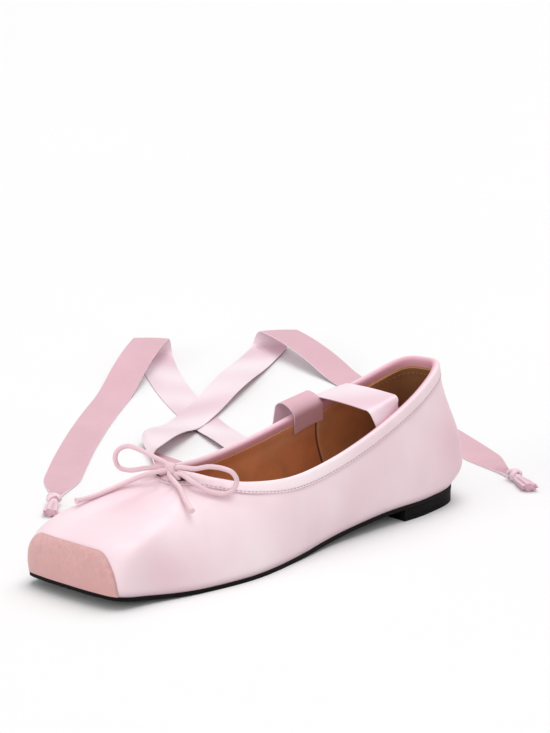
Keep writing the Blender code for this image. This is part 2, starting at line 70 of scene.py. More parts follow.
# ------------------------------------------------------------------ sizes
# The shoe's own sizes in millimetres: toe towards -Y, outer side +X.
HALF = 125.0          # half the length that stations are counted over
HEEL_RISE = 6.1
TOE_SPRING = 5.0
HEEL_BREAST = 52.0
SOLE_THICK = 2.4
SOLE_MARGIN = 0.6
LIP_DEEP = 14.0
WALL = 2.0
GAP = 0.3
INSOLE_THICK = 2.2
PATCH_HEIGHT = 19.5
PATCH_SIDE = 15.0     # how far in the patch reaches its full height
MEDIAL_CORNER = 1.9   # how much squarer its corner is on the medial side
KNOT_AT = (0.8, -59.2, 49.3)
CASING_SLITS = ((-5.9, -59.9, 6.4), (6.5, -59.5, 5.6))   # x, y, depth
SLIT_LONG = 3.4       # half sizes of a worked slit
SLIT_TALL = 1.35
SLIT_RIM = 0.28
SLIT_SIDES = 40
CORD_LEAVES = 43.4    # height at which the cords leave their slits
CORD_SIDES = 16
KNOT_TURNS = 2.9
KNOT_STEPS = 90
RIBBON_THICK = 0.6
HEEL_FULL = 1.5       # how much fuller the satin is over the lower heel
BINDING_SPREAD = 0.40 # how much deeper the binding is at the throat, as a share
BINDING_DEEP = 6.5    # how far down the outside the binding comes
BINDING_SEAM = 5.60   # and how deep its stitches run
CUT_BACK = 0.6        # how far under the topline the upper and lining are cut
LINING_TOP = 4.0      # how deep under the topline the lining begins
LINING_LEVELS = 40
PANEL_OFF = 0.55      # how far the heel panel stands off the lining
PANEL_COLUMNS = 96
PANEL_SEAM = 7.4
SOCK_CROWN = 0.5
FAN_OUT = 8.0         # how strongly the walls lean straight out of the plan
SECTION_STEPS = 72
UPPER_LEVELS = 64
PATCH_LEVELS = 28
PLATE_ACROSS = 14
AROUND = 4            # the solids' steps between two rows of the last
FINE = 16             # the dressed pieces' steps

# The last: station of the foot of each section, its distances from the centre
# line, the same at the topline, the topline's height and dip, the drawn-up
# edge, and the wall's rise, lean, reach, drop and turn.
LAST_COLUMNS = ("name", "foot", "out", "inn", "top", "t_out", "t_in",
                "height", "dip", "lip", "rise", "lean", "reach", "drop", "swell",
                "crisp")
LAST = (
    ("heel_back", 2, 0, 0, 5.5, 0, 0, 68.5, 0.0, 0.0, 19.0, 14.0, 4.0, 25.0, 0.0, 1.2),
    ("heel_turn", 8.5, 19, 18, 10.5, 12, 12.5, 68.5, 1.5, 0.0, 19.0, 12.5, 4.0, 25.0, 0.0, 1.2),
    ("heel_side", 34, 27.5, 26.5, 33, 22, 22, 62.0, 4.2, 0.0, 18.0, 6.5, 3.0, 18.0, 0.0, 1.0),
    ("quarter", 70, 28.5, 26, 67, 27.5, 26, 51.5, 2.2, 0.0, 15.0, 4.0, 3.5, 14.0, 0.0, 1.0),
    ("waist", 105, 30.5, 25, 101, 29, 27.5, 43.0, 0.6, 0.0, 13.0, 3.5, 4.0, 10.0, 0.0, 1.0),
    ("instep", 138, 36.5, 30, 131, 28.5, 28, 38.9, 0.6, 0.3, 12.0, 3.0, 6.0, 9.0, 0.0, 1.0),
    ("ball", 168, 41, 37, 155, 23.5, 24, 39.3, 0.6, 1.3, 13.0, 2.0, 11.0, 6.0, 1.0, 1.1),
    ("vamp_side", 200, 38.5, 39, 169, 15.5, 16, 41.0, 0.2, 2.8, 15.0, 2.0, 18.0, 4.0, 3.2, 1.4),
    ("toe_side", 228, 33, 34, 176.5, 8, 8, 42.5, 0.0, 4.0, 18.0, 2.5, 30.0, 6.0, 5.6, 2.0),
    ("toe_corner", 246.5, 29, 29.6, 179.5, 4, 4, 43.0, 0.0, 4.2, 21.5, 3.2, 42.0, 11.0, 4.0, 2.8),
    ("toe_front", 250, 17, 17, 180.2, 2, 2, 43.0, 0.0, 4.2, 23.0, 1.5, 46.0, 11.5, 0.0, 4.0),
    ("toe_tip", 250.5, 0, 0, 180.5, 0, 0, 43.0, 0.0, 4.2, 23.5, 1.3, 48.0, 11.5, 0.0, 4.0),
)

# The ankle ribbons' stretches: run, then heading, slope and tilt at its end.
RIBBON_COLUMNS = ("stretch", "run", "heading", "slope", "tilt")
RIBBON_MEDIAL = (
    ("over_lip", 15.0, -80.0, -78.0, 10.0),
    ("drop", None, -86.0, -80.0, 3.0),
    ("land", 30.0, -90.0, 0.0, 0.0),
    ("floor_out", 70.0, -84.0, 0.0, 0.0),
    ("diagonal_fold", 22.0, -24.0, 0.0, 180.0),
    ("settle", None, -25.0, -12.0, 180.0),
    ("floor_back", 24.0, -26.0, 0.0, 180.0),
    ("wave_up", 46.0, -28.0, 4.0, 184.0),
    ("wave_down", 56.0, -30.0, -4.0, 176.0),
    ("wave_end", 56.0, -31.0, 0.0, 180.0),
    ("turn_back", 16.0, 107.0, 0.0, 360.0),
    ("come_down", None, 107.5, -13.0, 360.0),
    ("floor_home", 30.0, 108.5, 0.0, 360.0),
    ("tail", None, 117.0, 0.0, 360.0),
)
RIBBON_LATERAL = (
    ("over_lip", 10.0, -78.0, -2.0, 14.0),
    ("cross", 43.0, -74.0, -8.0, 12.0),
    ("over_far_lip", 16.0, -74.0, -82.0, 6.0),
    ("drop", None, -74.0, -78.0, 2.0),
    ("land", 30.0, -73.0, 0.0, 0.0),
    ("wave_up", 40.0, -70.0, 4.0, 4.0),
    ("wave_down", 44.0, -66.0, -4.0, -4.0),
    ("wave_end", 40.0, -62.0, 0.0, 0.0),
    ("floor_out", 130.0, -50.0, 0.0, 0.0),
    ("turn_back", 16.0, -212.0, 0.0, 180.0),
    ("come_down", None, -212.5, -12.0, 180.0),
    ("floor_home", 30.0, -213.5, 0.0, 180.0),
    ("tail", None, -222.0, 0.0, 180.0),
)
# How far over the floor the ribbon lies after an open stretch: the medial one
# is laid over the lateral one after it settles.
RIBBON_RESTS = {"drop": 0.0, "settle": 1.2, "come_down": 0.0}
SEWN_DEEP = 9.0       # how far the ribbons reach down inside the topline
SEWN_IN = 2.5         # and how far inside the middle of the wall they lie
SEWN_MEDIAL = 70.0    # the stations that they're sewn in at
SEWN_LATERAL = 58.0
CLEAR = 0.15          # room left under whatever lies on the floor
BAND_THICK = 0.32
BUNCH_WIDE = 4.0      # the band's width, pleats and extra thickness at its knot
BUNCH_LONG = 42.0
BUNCH_THICK = 1.3
PLEATS = 5
PLEAT_DEEP = 0.55
# The stub past a ribbon's knot: distance along, half sizes and pleats' depth.
STUB_RINGS = ((7.6, 2.5, 2.2, 0.05), (9.0, 2.4, 2.0, 0.12), (11.5, 2.9, 2.1, 0.20),
              (15.0, 3.4, 2.2, 0.26), (19.0, 3.8, 2.3, 0.30), (23.0, 4.1, 2.3, 0.32),
              (25.6, 4.2, 2.3, 0.32))
STUB_SIDES = 60
OVER = 3.0            # a turn past this angle may go either way: it goes up
FOLDED = 2.5          # and past this one the band counts as folded
# The knot's two wraps: distance along, tilt, half sizes and thickness.
KNOT_WRAPS = ((3.6, 28.0, 2.9, 2.15, 1.55), (5.4, -34.0, 2.7, 2.05, 1.45))
# The heel block's rings: height, if not up to the sole, and how far out.
HEEL_LEVELS = ((0.0, 0.0), (0.35, 0.0), (2.1, 0.0), (2.22, -0.22), (2.42, -0.22),
               (2.54, 0.0), (None, 0.0))

# The bow, measured from its knot: along X, along Y, height.
BOW_LOOP_LEFT = ((-3.5, 0.7, 1.0), (-11.8, -0.8, 3.6), (-20.8, -1.3, 5.3),
                 (-27.8, -1.8, 5.5), (-30.8, -4.8, 3.5), (-31.8, -5.8, -0.4),
                 (-30.8, -4.2, -5.0), (-26.8, -1.5, -6.2), (-16.8, -0.6, -3.4),
                 (-8.3, 1.0, -1.6), (-3.5, 0.4, -1.9))
BOW_LOOP_RIGHT = ((3.5, 0.9, 0.8), (10.2, 5.6, 0.5), (15.7, 9.6, 1.8),
                  (20.7, 14.1, 0.9), (24.2, 16.7, -1.0), (25.7, 17.9, -4.9),
                  (25.2, 15.7, -9.0), (23.7, 10.8, -10.1), (19.7, 5.4, -8.4),
                  (13.8, 1.4, -4.8), (6.4, 0.7, -2.1), (3.5, -0.3, -1.9))
BOW_TAIL_LEFT = ((-2.3, -2.7, -1.1), (-9.3, -7.3, -3.5), (-14.8, -13.2, -6.7),
                 (-18.8, -21.7, -9.8), (-21.3, -30.5, -11.8), (-22.8, -39.9, -12.4))
BOW_TAIL_RIGHT = ((1.7, -2.7, -2.4), (5.3, -3.6, -4.2), (9.5, -4.1, -6.5),
                  (20.1, -10.2, -9.9), (26.4, -12.4, -12.9))

# Soft creases of the satin, in the shoe's own sizes: station, distance from
# the centre line and height of both ends, half width and depth.
UPPER_CREASES = (
    ("vamp_flex_out", (186, 24, 34), (196, 38, 20), 3.5, 0.30),
    ("vamp_flex_inn", (184, -22, 34), (196, -37, 18), 3.5, 0.30),
)

# Painted shade and painted highlights on the satin: station, distance from the
# centre line, height, how far it spreads, and how deep (or, below zero, how pale) it is.
SATIN_PAINTED_LIGHT = (
    ("vamp_top", 205, -4, 37, 15, 0.60),
    ("vamp_ridge", 214, 26, 31, 9, -0.30),
    ("vamp_flank", 194, 32, 26, 13, -0.35),
    ("toe_flank", 222, 33, 13, 12, 0.50),
    ("ball_low", 202, 37, 13, 12, 0.20),
    ("instep_low", 167, 41, 10, 18, -0.60),
    ("waist_low", 104, 32, 15, 18, 0.20),
    ("quarter_middle", 69, 30, 25, 15, 0.10),
    ("quarter_fold", 88, 30, 28, 9, 0.28),
    ("quarter_low", 55, 31, 14, 14, -0.15),
    ("quarter_pale", 106, 32, 24, 10, -0.25),
    ("heel_out", 10, 22, 30, 22, 1.0),
    ("heel_inn", 10, -22, 30, 22, 1.0),
)


# ------------------------------------------------------- curves and sections
def ease(start, end, x):
    t = np.clip((x - start) / (end - start), 0.0, 1.0)
    return t * t * (3.0 - 2.0 * t)


def bell(x, width):
    return np.exp(-(x / width) ** 2)


def unit(v):
    return v / np.linalg.norm(v, axis=-1, keepdims=True)


def arc_of(line):
    """Length along a line of points, up to each of them."""
    return np.r_[0.0, np.cumsum(np.linalg.norm(np.diff(line, axis=0), axis=1))]


def looped(ring):
    return np.vstack([ring, ring[:1]])


def underside(station):
    """Height of the sole's underside: heel, arch, flat forefoot, toe spring."""
    lift = np.clip((station - 195.0) / 55.0, 0.0, None) ** 1.8
    return HEEL_RISE * (1.0 - ease(48.0, 150.0, station)) + TOE_SPRING * lift


def smooth(points, steps, axes=3):
    """Centripetal Catmull-Rom curve through the points between the first and
    the last, spaced by their distances over the first axes."""
    points = np.asarray(points, float)
    out = []
    for i in range(1, len(points) - 2):
        p = points[i - 1:i + 3]
        t = np.cumsum([0.0] + [np.linalg.norm((p[k + 1] - p[k])[:axes]) ** 0.5 + 1e-9
                               for k in range(3)])
        for j in range(steps):
            x = t[1] + (t[2] - t[1]) * j / steps
            a = [((t[k + 1] - x) * p[k] + (x - t[k]) * p[k + 1]) / (t[k + 1] - t[k])
                 for k in range(3)]
            b = [((t[k + 2] - x) * a[k] + (x - t[k]) * a[k + 1]) / (t[k + 2] - t[k])
                 for k in range(2)]
            out.append(((t[2] - x) * b[0] + (x - t[1]) * b[1]) / (t[2] - t[1]))
    return np.array(out)


def last_rings(steps):
    """Columns round the shoe: heel back, lateral side, toe tip, medial side."""
    def side(r, outer):
        x, tx, dip, swell = ((r["out"], r["t_out"], 0.0, 0.0) if outer else
                             (-r["inn"], -r["t_in"], r["dip"], r["swell"]))
        return [x, HALF - r["foot"], tx, HALF - r["top"], r["height"] - dip, r["lip"],
                r["rise"], r["lean"], r["reach"], r["drop"] - swell, r["crisp"]]

    rows = [dict(zip(LAST_COLUMNS, row)) for row in LAST]
    loop = [side(r, True) for r in rows] + [side(r, False) for r in rows[-2:0:-1]]
    return smooth(loop[-1:] + loop + loop[:2], steps, 2)


def outward(ring):
    """Unit vectors in plan, pointing out of a ring of plan points."""
    along = np.roll(ring, -1, 0) - np.roll(ring, 1, 0)
    out = unit(np.c_[along[:, 1], -along[:, 0]])
    return -out if (out * (ring - ring.mean(0))).sum() < 0 else out


def last_sections(steps):
    """Each section as a run of points from feather line to topline."""
    g = last_rings(steps)
    foot = np.c_[g[:, :2], underside(HALF - g[:, 1]) + SOLE_THICK + GAP]
    top = g[:, 2:5]
    out = np.c_[outward(g[:, :2]), np.zeros(len(g))]
    fan = foot - top
    fan[:, 2] = 0.0
    fan = unit(fan + FAN_OUT * out)
    up = np.array([0.0, 0.0, 1.0])
    lip, rise, lean, reach, drop, crisp = (g[:, k:k + 1] for k in range(5, 11))
    low = foot + rise * up + lean * out
    high = top + reach * fan - drop * up
    points = []
    for t in np.linspace(0.0, 1.0, SECTION_STEPS + 1):
        w = ((1 - t) ** 3, 3 * (1 - t) ** 2 * t * crisp,
             3 * (1 - t) * t * t * crisp, t ** 3)
        points.append((w[0] * foot + w[1] * low + w[2] * high + w[3] * top)
                      / (w[0] + w[1] + w[2] + w[3]))
    points = np.array(points)
    step = np.linalg.norm(np.diff(points, axis=0), axis=2)
    below = np.vstack([np.cumsum(step[::-1], axis=0)[::-1], 0.0 * step[:1]])
    drawn = np.clip(1.0 - below / LIP_DEEP, 0.0, 1.0) ** 1.5
    points[:, :, 2] += lip[:, 0] * drawn
    return points


def surface_normals(grid):
    """Unit normals of levels of closed rings, out of the shoe."""
    along = np.roll(grid, -1, 1) - np.roll(grid, 1, 1)
    return unit(np.cross(np.gradient(grid, axis=0), along))


class Wall:
    """The last's surface, with heights measured along each section."""

    def __init__(self, steps):
        self.grid = last_sections(steps)
        self.normal = surface_normals(self.grid)
        step = np.linalg.norm(np.diff(self.grid, axis=0), axis=2)
        self.arc = np.vstack([np.zeros(step.shape[1]), np.cumsum(step, axis=0)])
        self.full = self.arc[-1]
        self.count = self.grid.shape[1]
        self.round = arc_of(looped(self.grid[len(self.grid) // 3]))

    def at(self, i, height, off=0.0):
        """Point on section i at this height along it, moved out by off."""
        p, n = (np.array([np.interp(height, self.arc[:, i], data[:, i, k])
                          for k in range(3)]) for data in (self.grid, self.normal))
        return p + off * n / np.linalg.norm(n)

    def between(self, i, deep, off=0.0):
        """Point at a fractional section, this deep under the topline."""
        a, part = math.floor(i), i - math.floor(i)
        ends = [self.at(k % self.count, self.full[k % self.count] - deep, off)
                for k in (a, a + 1)]
        return ends[0] + part * (ends[1] - ends[0])

    def ring(self, heights, off=0.0):
        """Points all round, at each section's own height and offset."""
        heights, off = (np.broadcast_to(x, self.count) for x in (heights, off))
        return np.array([self.at(i, heights[i], off[i]) for i in range(self.count)])

    def crown(self, rise, off):
        """Points this far past the topline, in line with the wall."""
        edge = self.ring(self.full, off)
        return edge + rise * unit(edge - self.ring(self.full - 1.0, off))


def plan_ring(off, steps):
    ring = last_rings(steps)[:, :2]
    return ring + off * outward(ring)


# ------------------------------------------------------------- making pieces
def solids_shift():
    """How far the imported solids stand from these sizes, in metres."""
    ring = plan_ring(SOLE_MARGIN, AROUND) * MM
    low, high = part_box("outsole")
    middle = (Vector(low) + Vector(high)) / 2
    own = (ring.min(0) + ring.max(0)) / 2
    return np.array([middle.x - own[0], middle.y - own[1], 0.0])


SHIFT = solids_shift()


def place(points):
    return np.asarray(points, float).reshape(-1, 3) * MM + SHIFT


def pick(*objects):
    bpy.ops.object.select_all(action="DESELECT")
    for obj in objects:
        obj.select_set(True)
    bpy.context.view_layer.objects.active = objects[0]


def edit(obj, **tools):
    """Run mesh tools over a whole object."""
    pick(obj)
    bpy.ops.object.mode_set(mode="EDIT")
    bpy.ops.mesh.select_all(action="SELECT")
    for tool, settings in tools.items():
        getattr(bpy.ops.mesh, tool)(**settings)
    bpy.ops.object.mode_set(mode="OBJECT")


def shade(obj, angle):
    pick(obj)
    bpy.ops.object.shade_smooth_by_angle(angle=math.radians(angle))


def clean_up(obj, angle):
    """Merge doubles, turn the normals outwards and shade."""
    edit(obj, remove_doubles={"threshold": 2e-6},
         normals_make_consistent={"inside": False})
    shade(obj, angle)


def finish_with(obj, kind, **settings):
    """Add a modifier and apply it."""
    pick(obj)
    mod = obj.modifiers.new(kind.lower(), kind)
    for key, value in settings.items():
        setattr(mod, key, value)
    bpy.ops.object.modifier_apply(modifier=mod.name)


def bevel(obj, width, segments, angle=50.0):
    finish_with(obj, "BEVEL", width=width, segments=segments, limit_method="ANGLE",
                angle_limit=math.radians(angle))


def thicken(obj, thickness, rim=0.0):
    """Give a sheet its thickness, towards its back, and round its rims."""
    finish_with(obj, "SOLIDIFY", thickness=thickness, offset=-1.0)
    if rim:
        bevel(obj, rim, 2)
    shade(obj, 50.0)


def add_mark(mesh, mark, values):
    """Numbers by point, which a finish reads by name."""
    layer = mesh.attributes.new(mark, "FLOAT", "POINT")
    layer.data.foreach_set("value", np.asarray(values, float).reshape(-1))


def make_piece(name, points, faces, finishes, uvs=None, marks=None):
    """A mesh object from points in the shoe's sizes, with UVs by face corner."""
    mesh = bpy.data.meshes.new(name)
    mesh.from_pydata(place(points).tolist(), [], faces)
    if uvs is not None:
        layer = mesh.uv_layers.new(name="UVMap")
        layer.data.foreach_set("uv", np.asarray(uvs, float).reshape(-1) * MM)
    for mark, values in (marks or {}).items():
        add_mark(mesh, mark, values)
    for finish in finishes:
        mesh.materials.append(bpy.data.materials[finish])
    obj = bpy.data.objects.new(name, mesh)
    bpy.context.scene.collection.objects.link(obj)
    return obj


def cells(rows, cols, closed=True, start=0):
    """Row, column and corners of each face of a lattice of points."""
    for r in range(rows - 1):
        for c in range(cols if closed else cols - 1):
            a, b = (start + r * cols + k % cols for k in (c, c + 1))
            yield r, c, (a, b, b + cols, a + cols)


def solid_faces(rows, cols, start=0):
    """Faces round a run of rings, with both ends closed."""
    end = start + (rows - 1) * cols
    return ([face for _, _, face in cells(rows, cols, True, start)]
            + [tuple(range(start, start + cols))[::-1], tuple(range(end, end + cols))])


def solid_uvs(u, v):
    """UVs for solid_faces, with u round the rings and v along them."""
    uvs = []
    for r in range(len(v) - 1):
        for c in range(len(u) - 1):
            uvs += [(u[c], v[r]), (u[c + 1], v[r]), (u[c + 1], v[r + 1]), (u[c], v[r + 1])]
    return uvs + [(0.0, 0.0)] * (len(u) - 1) + [(0.0, v[-1])] * (len(u) - 1)


def grid_piece(name, grid, u, v, finish, closed=True, marks=None):
    """A sheet over rows by columns of points, facing out of the shoe."""
    rows, cols = grid.shape[:2]
    width = cols + 1 if closed else cols
    u = np.broadcast_to(u, (rows, width))
    v = np.broadcast_to(np.reshape(v, (rows, -1)), (rows, width))
    faces, uvs = [], []
    for r, c, (a, b, d, e) in cells(rows, cols, closed):
        faces.append((b, a, e, d))
        uvs += [(u[k], v[k]) for k in ((r, c + 1), (r, c), (r + 1, c), (r + 1, c + 1))]
    return make_piece(name, grid, faces, [finish], uvs, marks)


def tube_piece(name, line, radii, finish, count=14, squash=1.0):
    """A closed round tube along a line, with radii by point."""
    line = np.asarray(line, float)
    t = unit(np.gradient(line, axis=0))
    side = np.cross(t[0], (0.0, 0.0, 1.0))
    if np.linalg.norm(side) < 1e-6:
        side = np.cross(t[0], (1.0, 0.0, 0.0))
    across = []
    for k in t:
        side = unit(side - k * np.dot(side, k))
        across.append(side)
    across = np.array(across)
    above = np.cross(across, t)
    radii = np.broadcast_to(radii, len(line))
    turn = 2 * np.pi * np.arange(count) / count
    rings = (line[:, None] + radii[:, None, None]
             * (np.cos(turn)[None, :, None] * across[:, None]
                + squash * np.sin(turn)[None, :, None] * above[:, None]))
    girth = 2 * np.pi * float(np.median(radii))
    uvs = solid_uvs(girth * np.arange(count + 1) / count, arc_of(line))
    obj = make_piece(name, rings, solid_faces(len(line), count), [finish], uvs)
    edit(obj, normals_make_consistent={"inside": False})
    shade(obj, 50.0)
    return obj


# A stitch's rings: along, width and height, in half lengths and half widths.
STITCH = ((-1.0, 0.35, -1.1), (-0.7, 0.8, -0.1), (0.0, 1.0, 0.35), (0.7, 0.8, -0.1),
          (1.0, 0.35, -1.1))
STITCH_SIDES = 6


def stitch_row(name, line, out, finish, pitch, length, thick):
    """A row of thread stitches that dip into the cloth at both ends."""
    line, out = np.asarray(line, float), np.asarray(out, float)
    arc = arc_of(line)
    count = int(arc[-1] / pitch)
    points, faces = [], []
    for k in range(count):
        s = (k + 0.5) * arc[-1] / count
        p, q, n = (np.array([np.interp(x, arc, data[:, j]) for j in range(3)])
                   for x, data in ((s, line), (s + 0.2, line), (s, out)))
        t = unit(q - p)
        n = unit(n - t * np.dot(n, t))
        b = np.cross(t, n)
        faces += solid_faces(len(STITCH), STITCH_SIDES, len(points))
        for along, wide, high in STITCH:
            c = p + t * along * length / 2 + n * high * thick / 2
            for j in range(STITCH_SIDES):
                a = 2 * math.pi * j / STITCH_SIDES
                points.append(c + wide * thick / 2 * (b * math.cos(a) + n * math.sin(a)))
    obj = make_piece(name, points, faces, [finish])
    clean_up(obj, 60.0)
    return obj


def dress(obj, slot_name, *nodes):
    """Ride on the one body and stand for CAD nodes. The slot name is not used."""
    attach(obj, "root")
    if nodes:
        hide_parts(*nodes)
    return obj


# ------------------------------------------------------------------- finishes
class Wires:
    """Short hand for adding and joining shader nodes."""

    def __init__(self, tree):
        self.tree = tree
        self.count = 0

    def node(self, kind, **settings):
        n = self.tree.nodes.new(kind)
        self.count += 1
        n.location = (-1400 + 190 * (self.count % 8), 400 - 220 * (self.count // 8))
        for key, value in settings.items():
            setattr(n, key, value)
        return n

    def feed(self, socket, value):
        if isinstance(value, bpy.types.NodeSocket):
            self.tree.links.new(value, socket)
        else:
            socket.default_value = value

    def fill(self, node, **values):
        for key, value in values.items():
            self.feed(node.inputs[key.replace("_", " ")], value)
        return node.outputs

    def math(self, operation, a, b=0.0):
        n = self.node("ShaderNodeMath", operation=operation)
        self.feed(n.inputs[0], a)
        self.feed(n.inputs[1], b)
        return n.outputs[0]

    def mapped(self, value, a, b, c=0.0, d=1.0):
        n = self.node("ShaderNodeMapRange", interpolation_type="SMOOTHSTEP")
        for socket, x in zip(n.inputs, (value, a, b, c, d)):
            self.feed(socket, x)
        return n.outputs[0]

    def mix(self, factor, a, b):
        n = self.node("ShaderNodeMix", data_type="RGBA")
        for key, value in ((0, factor), (6, a), (7, b)):
            self.feed(n.inputs[key], value)
        return n.outputs[2]

    def noise(self, vector, scale, detail=3.0, rough=0.55, distortion=0.0):
        return self.fill(self.node("ShaderNodeTexNoise"), Vector=vector, Scale=scale,
                         Detail=detail, Roughness=rough, Distortion=distortion)[0]

    def group(self, name, **inputs):
        tree = bpy.data.node_groups[name]
        return self.fill(self.node("ShaderNodeGroup", node_tree=tree), **inputs)

    def mark(self, name):
        return self.node("ShaderNodeAttribute", attribute_name=name).outputs["Fac"]

    def mix_mark(self, name, share, tone, colour):
        return self.mix(self.math("MULTIPLY", self.mark(name), share), tone, colour)

    def mix_tone(self, tone, deep, pale):
        """Mix in the tone marks, which are painted light: above zero a painted shade, below zero
        a painted highlight.
        """
        cast = self.mark("tone")
        tone = self.mix(self.math("MAXIMUM", cast, 0.0), tone, deep)
        below = self.math("MULTIPLY", cast, -1.0)
        return self.mix(self.math("MAXIMUM", below, 0.0), tone, pale)


def new_group(name, size, value, *outputs):
    """A node group with a vector and one size for inputs, which it scales."""
    tree = bpy.data.node_groups.new(name, "ShaderNodeTree")
    face = tree.interface
    face.new_socket(name="Vector", in_out="INPUT", socket_type="NodeSocketVector")
    face.new_socket(name=size, in_out="INPUT",
                    socket_type="NodeSocketFloat").default_value = value
    for key in outputs:
        face.new_socket(name=key, in_out="OUTPUT", socket_type="NodeSocketFloat")
    w = Wires(tree)
    return w, w.node("NodeGroupInput").outputs, w.node("NodeGroupOutput").inputs


def scaled_input(w, i, size):
    n = w.node("ShaderNodeVectorMath", operation="SCALE")
    w.feed(n.inputs[0], i["Vector"])
    w.feed(n.inputs["Scale"], i[size])
    return n.outputs[0]


def make_groups():
    w, i, o = new_group("satin_weave", "Threads", 3200.0, "Height", "Slub")
    sep = w.node("ShaderNodeSeparateXYZ")
    w.feed(sep.inputs[0], i["Vector"])
    turns = w.math("MULTIPLY", i["Threads"], 6.283)
    fine = w.math("SINE", w.math("MULTIPLY", sep.outputs[1], turns))
    along = w.fill(w.node("ShaderNodeCombineXYZ"),
                   X=w.math("MULTIPLY", sep.outputs[0], 60.0),
                   Y=w.math("MULTIPLY", sep.outputs[1], 1500.0))
    slub = w.noise(along[0], 1.0, 2.0, 0.6)
    w.feed(o["Slub"], slub)
    w.feed(o["Height"], w.math("ADD", w.math("MULTIPLY", fine, 0.25), slub))

    w, i, o = new_group("soft_mottle", "Size", 40.0, "Mask", "Fine")
    big = scaled_input(w, i, "Size")
    w.feed(o["Mask"], w.mapped(w.noise(big, 1.0, 2.0, 0.5, 0.3), 0.3, 0.7))
    w.feed(o["Fine"], w.mapped(w.noise(big, 9.0, 4.0, 0.65), 0.3, 0.7))

    w, i, o = new_group("leather_grain", "Grain", 1100.0, "Height", "Pores")
    big = scaled_input(w, i, "Grain")
    grain = w.fill(w.node("ShaderNodeTexVoronoi", feature="F1"), Vector=big, Scale=1.0)
    w.feed(o["Pores"], w.mapped(w.noise(big, 2.2, 3.0, 0.7), 0.62, 0.75))
    w.feed(o["Height"], w.math("ADD", grain["Distance"], w.noise(big, 0.35, 3.0, 0.6)))

    w, i, o = new_group("suede_nap", "Nap", 900.0, "Height", "Tone")
    big = scaled_input(w, i, "Nap")
    fibre = w.noise(big, 1.6, 5.0, 0.75, 0.4)
    stroke = w.noise(big, 0.30, 3.0, 0.6, 0.8)
    w.feed(o["Height"], w.math("ADD", fibre, w.math("MULTIPLY", stroke, 0.8)))
    w.feed(o["Tone"], w.mapped(w.math("ADD", w.math("MULTIPLY", fibre, 0.45),
                                      w.math("MULTIPLY", stroke, 0.55)), 0.35, 0.65))


def start_material(name, rough, **sockets):
    """A material with its Principled shader's even values set in place."""
    m = bpy.data.materials.new(name)
    m.use_nodes = True
    s = m.node_tree.nodes["Principled BSDF"].inputs
    s["Roughness"].default_value = rough
    for key, value in sockets.items():
        s[key.replace("_", " ")].default_value = value
    w = Wires(m.node_tree)
    return w, s, w.node("ShaderNodeTexCoord").outputs


def bumped(w, sockets, height, strength, distance, under=None):
    n = w.node("ShaderNodeBump")
    out = w.fill(n, Strength=strength, Distance=distance, Height=height)
    if under is not None:
        w.feed(n.inputs["Normal"], under)
    w.feed(sockets["Normal"], out[0])
    return out[0]


def shaded(colour, factor):
    return (*(c * factor for c in colour[:3]), 1.0)


def satin(name, colour, deep, threads, rough=0.48, sheen=0.15, painted_shading=False,
          weave_depth=0.10, drape=0.0, inside=None):
    """Satin: a pale face, a painted shade in troughs and painted highlights where marked, weave
    and slubs.
    """
    w, s, coord = start_material(name, rough, Sheen_Weight=sheen, Sheen_Roughness=0.4,
                                 Specular_IOR_Level=0.7,
                                 Sheen_Tint=(1.0, 0.93, 0.95, 1.0))
    weave = w.group("satin_weave", Vector=coord["UV"], Threads=threads)
    mottle = w.group("soft_mottle", Vector=coord["Object"], Size=26.0)
    tone = w.mix(w.math("MULTIPLY", mottle["Mask"], 0.45), (*colour, 1.0), (*deep, 1.0))
    tone = w.mix(w.math("MULTIPLY", weave["Slub"], 0.08), tone, shaded(deep, 0.9))
    # Painted shade: the cloth turns deeper pink where it runs inside the shoe.
    if inside:
        tone = w.mix(w.mark("inside"), tone, (*inside, 1.0))
    # Painted light: the tone mark paints shade above zero and highlights below zero; the seam
    # mark paints shade along edges and in dents, and darkens the back seam.
    if painted_shading:
        painted_shade_colour = (deep[0] * 0.94, deep[1] * 0.87, deep[2] * 0.89, 1.0)
        tone = w.mix_tone(tone, painted_shade_colour, (*(c ** 0.6 for c in colour), 1.0))
        tone = w.mix_mark("seam", 0.75, tone, shaded(deep, 0.78))
    w.feed(s["Base Color"], tone)
    w.feed(s["Roughness"], w.mapped(mottle["Fine"], 0.0, 1.0, rough - 0.04, rough + 0.07))
    under = None
    if drape:
        under = bumped(w, s, w.noise(coord["Object"], 32.0, 1.0, 0.4), drape, 0.004)
    bumped(w, s, weave["Height"], weave_depth, 0.00006, under)


def leather(name, colour):
    """Smooth tan leather: grain, pores, a pale cut edge, and painted shade and highlights from
    the tone mark.
    """
    rough, deep = 0.5, shaded(colour, 0.8)
    w, s, coord = start_material(name, rough, Specular_IOR_Level=0.45)
    hide = w.group("leather_grain", Vector=coord["Object"], Grain=1100.0)
    mottle = w.group("soft_mottle", Vector=coord["Object"], Size=60.0)
    tone = w.mix(mottle["Mask"], (*colour, 1.0), deep)
    tone = w.mix(w.math("MULTIPLY", hide["Pores"], 0.35), tone, shaded(deep, 0.6))
    # Painted shade and painted highlights, from the tone mark.
    tone = w.mix_tone(tone, shaded(deep, 0.5), (*(c ** 0.72 for c in colour), 1.0))
    tone = w.mix_mark("edge", 0.6, tone, (0.68, 0.36, 0.19, 1.0))
    w.feed(s["Base Color"], tone)
    w.feed(s["Roughness"], w.mapped(mottle["Fine"], 0.0, 1.0, rough - 0.06, rough + 0.1))
    bumped(w, s, hide["Height"], 0.35, 0.0002)


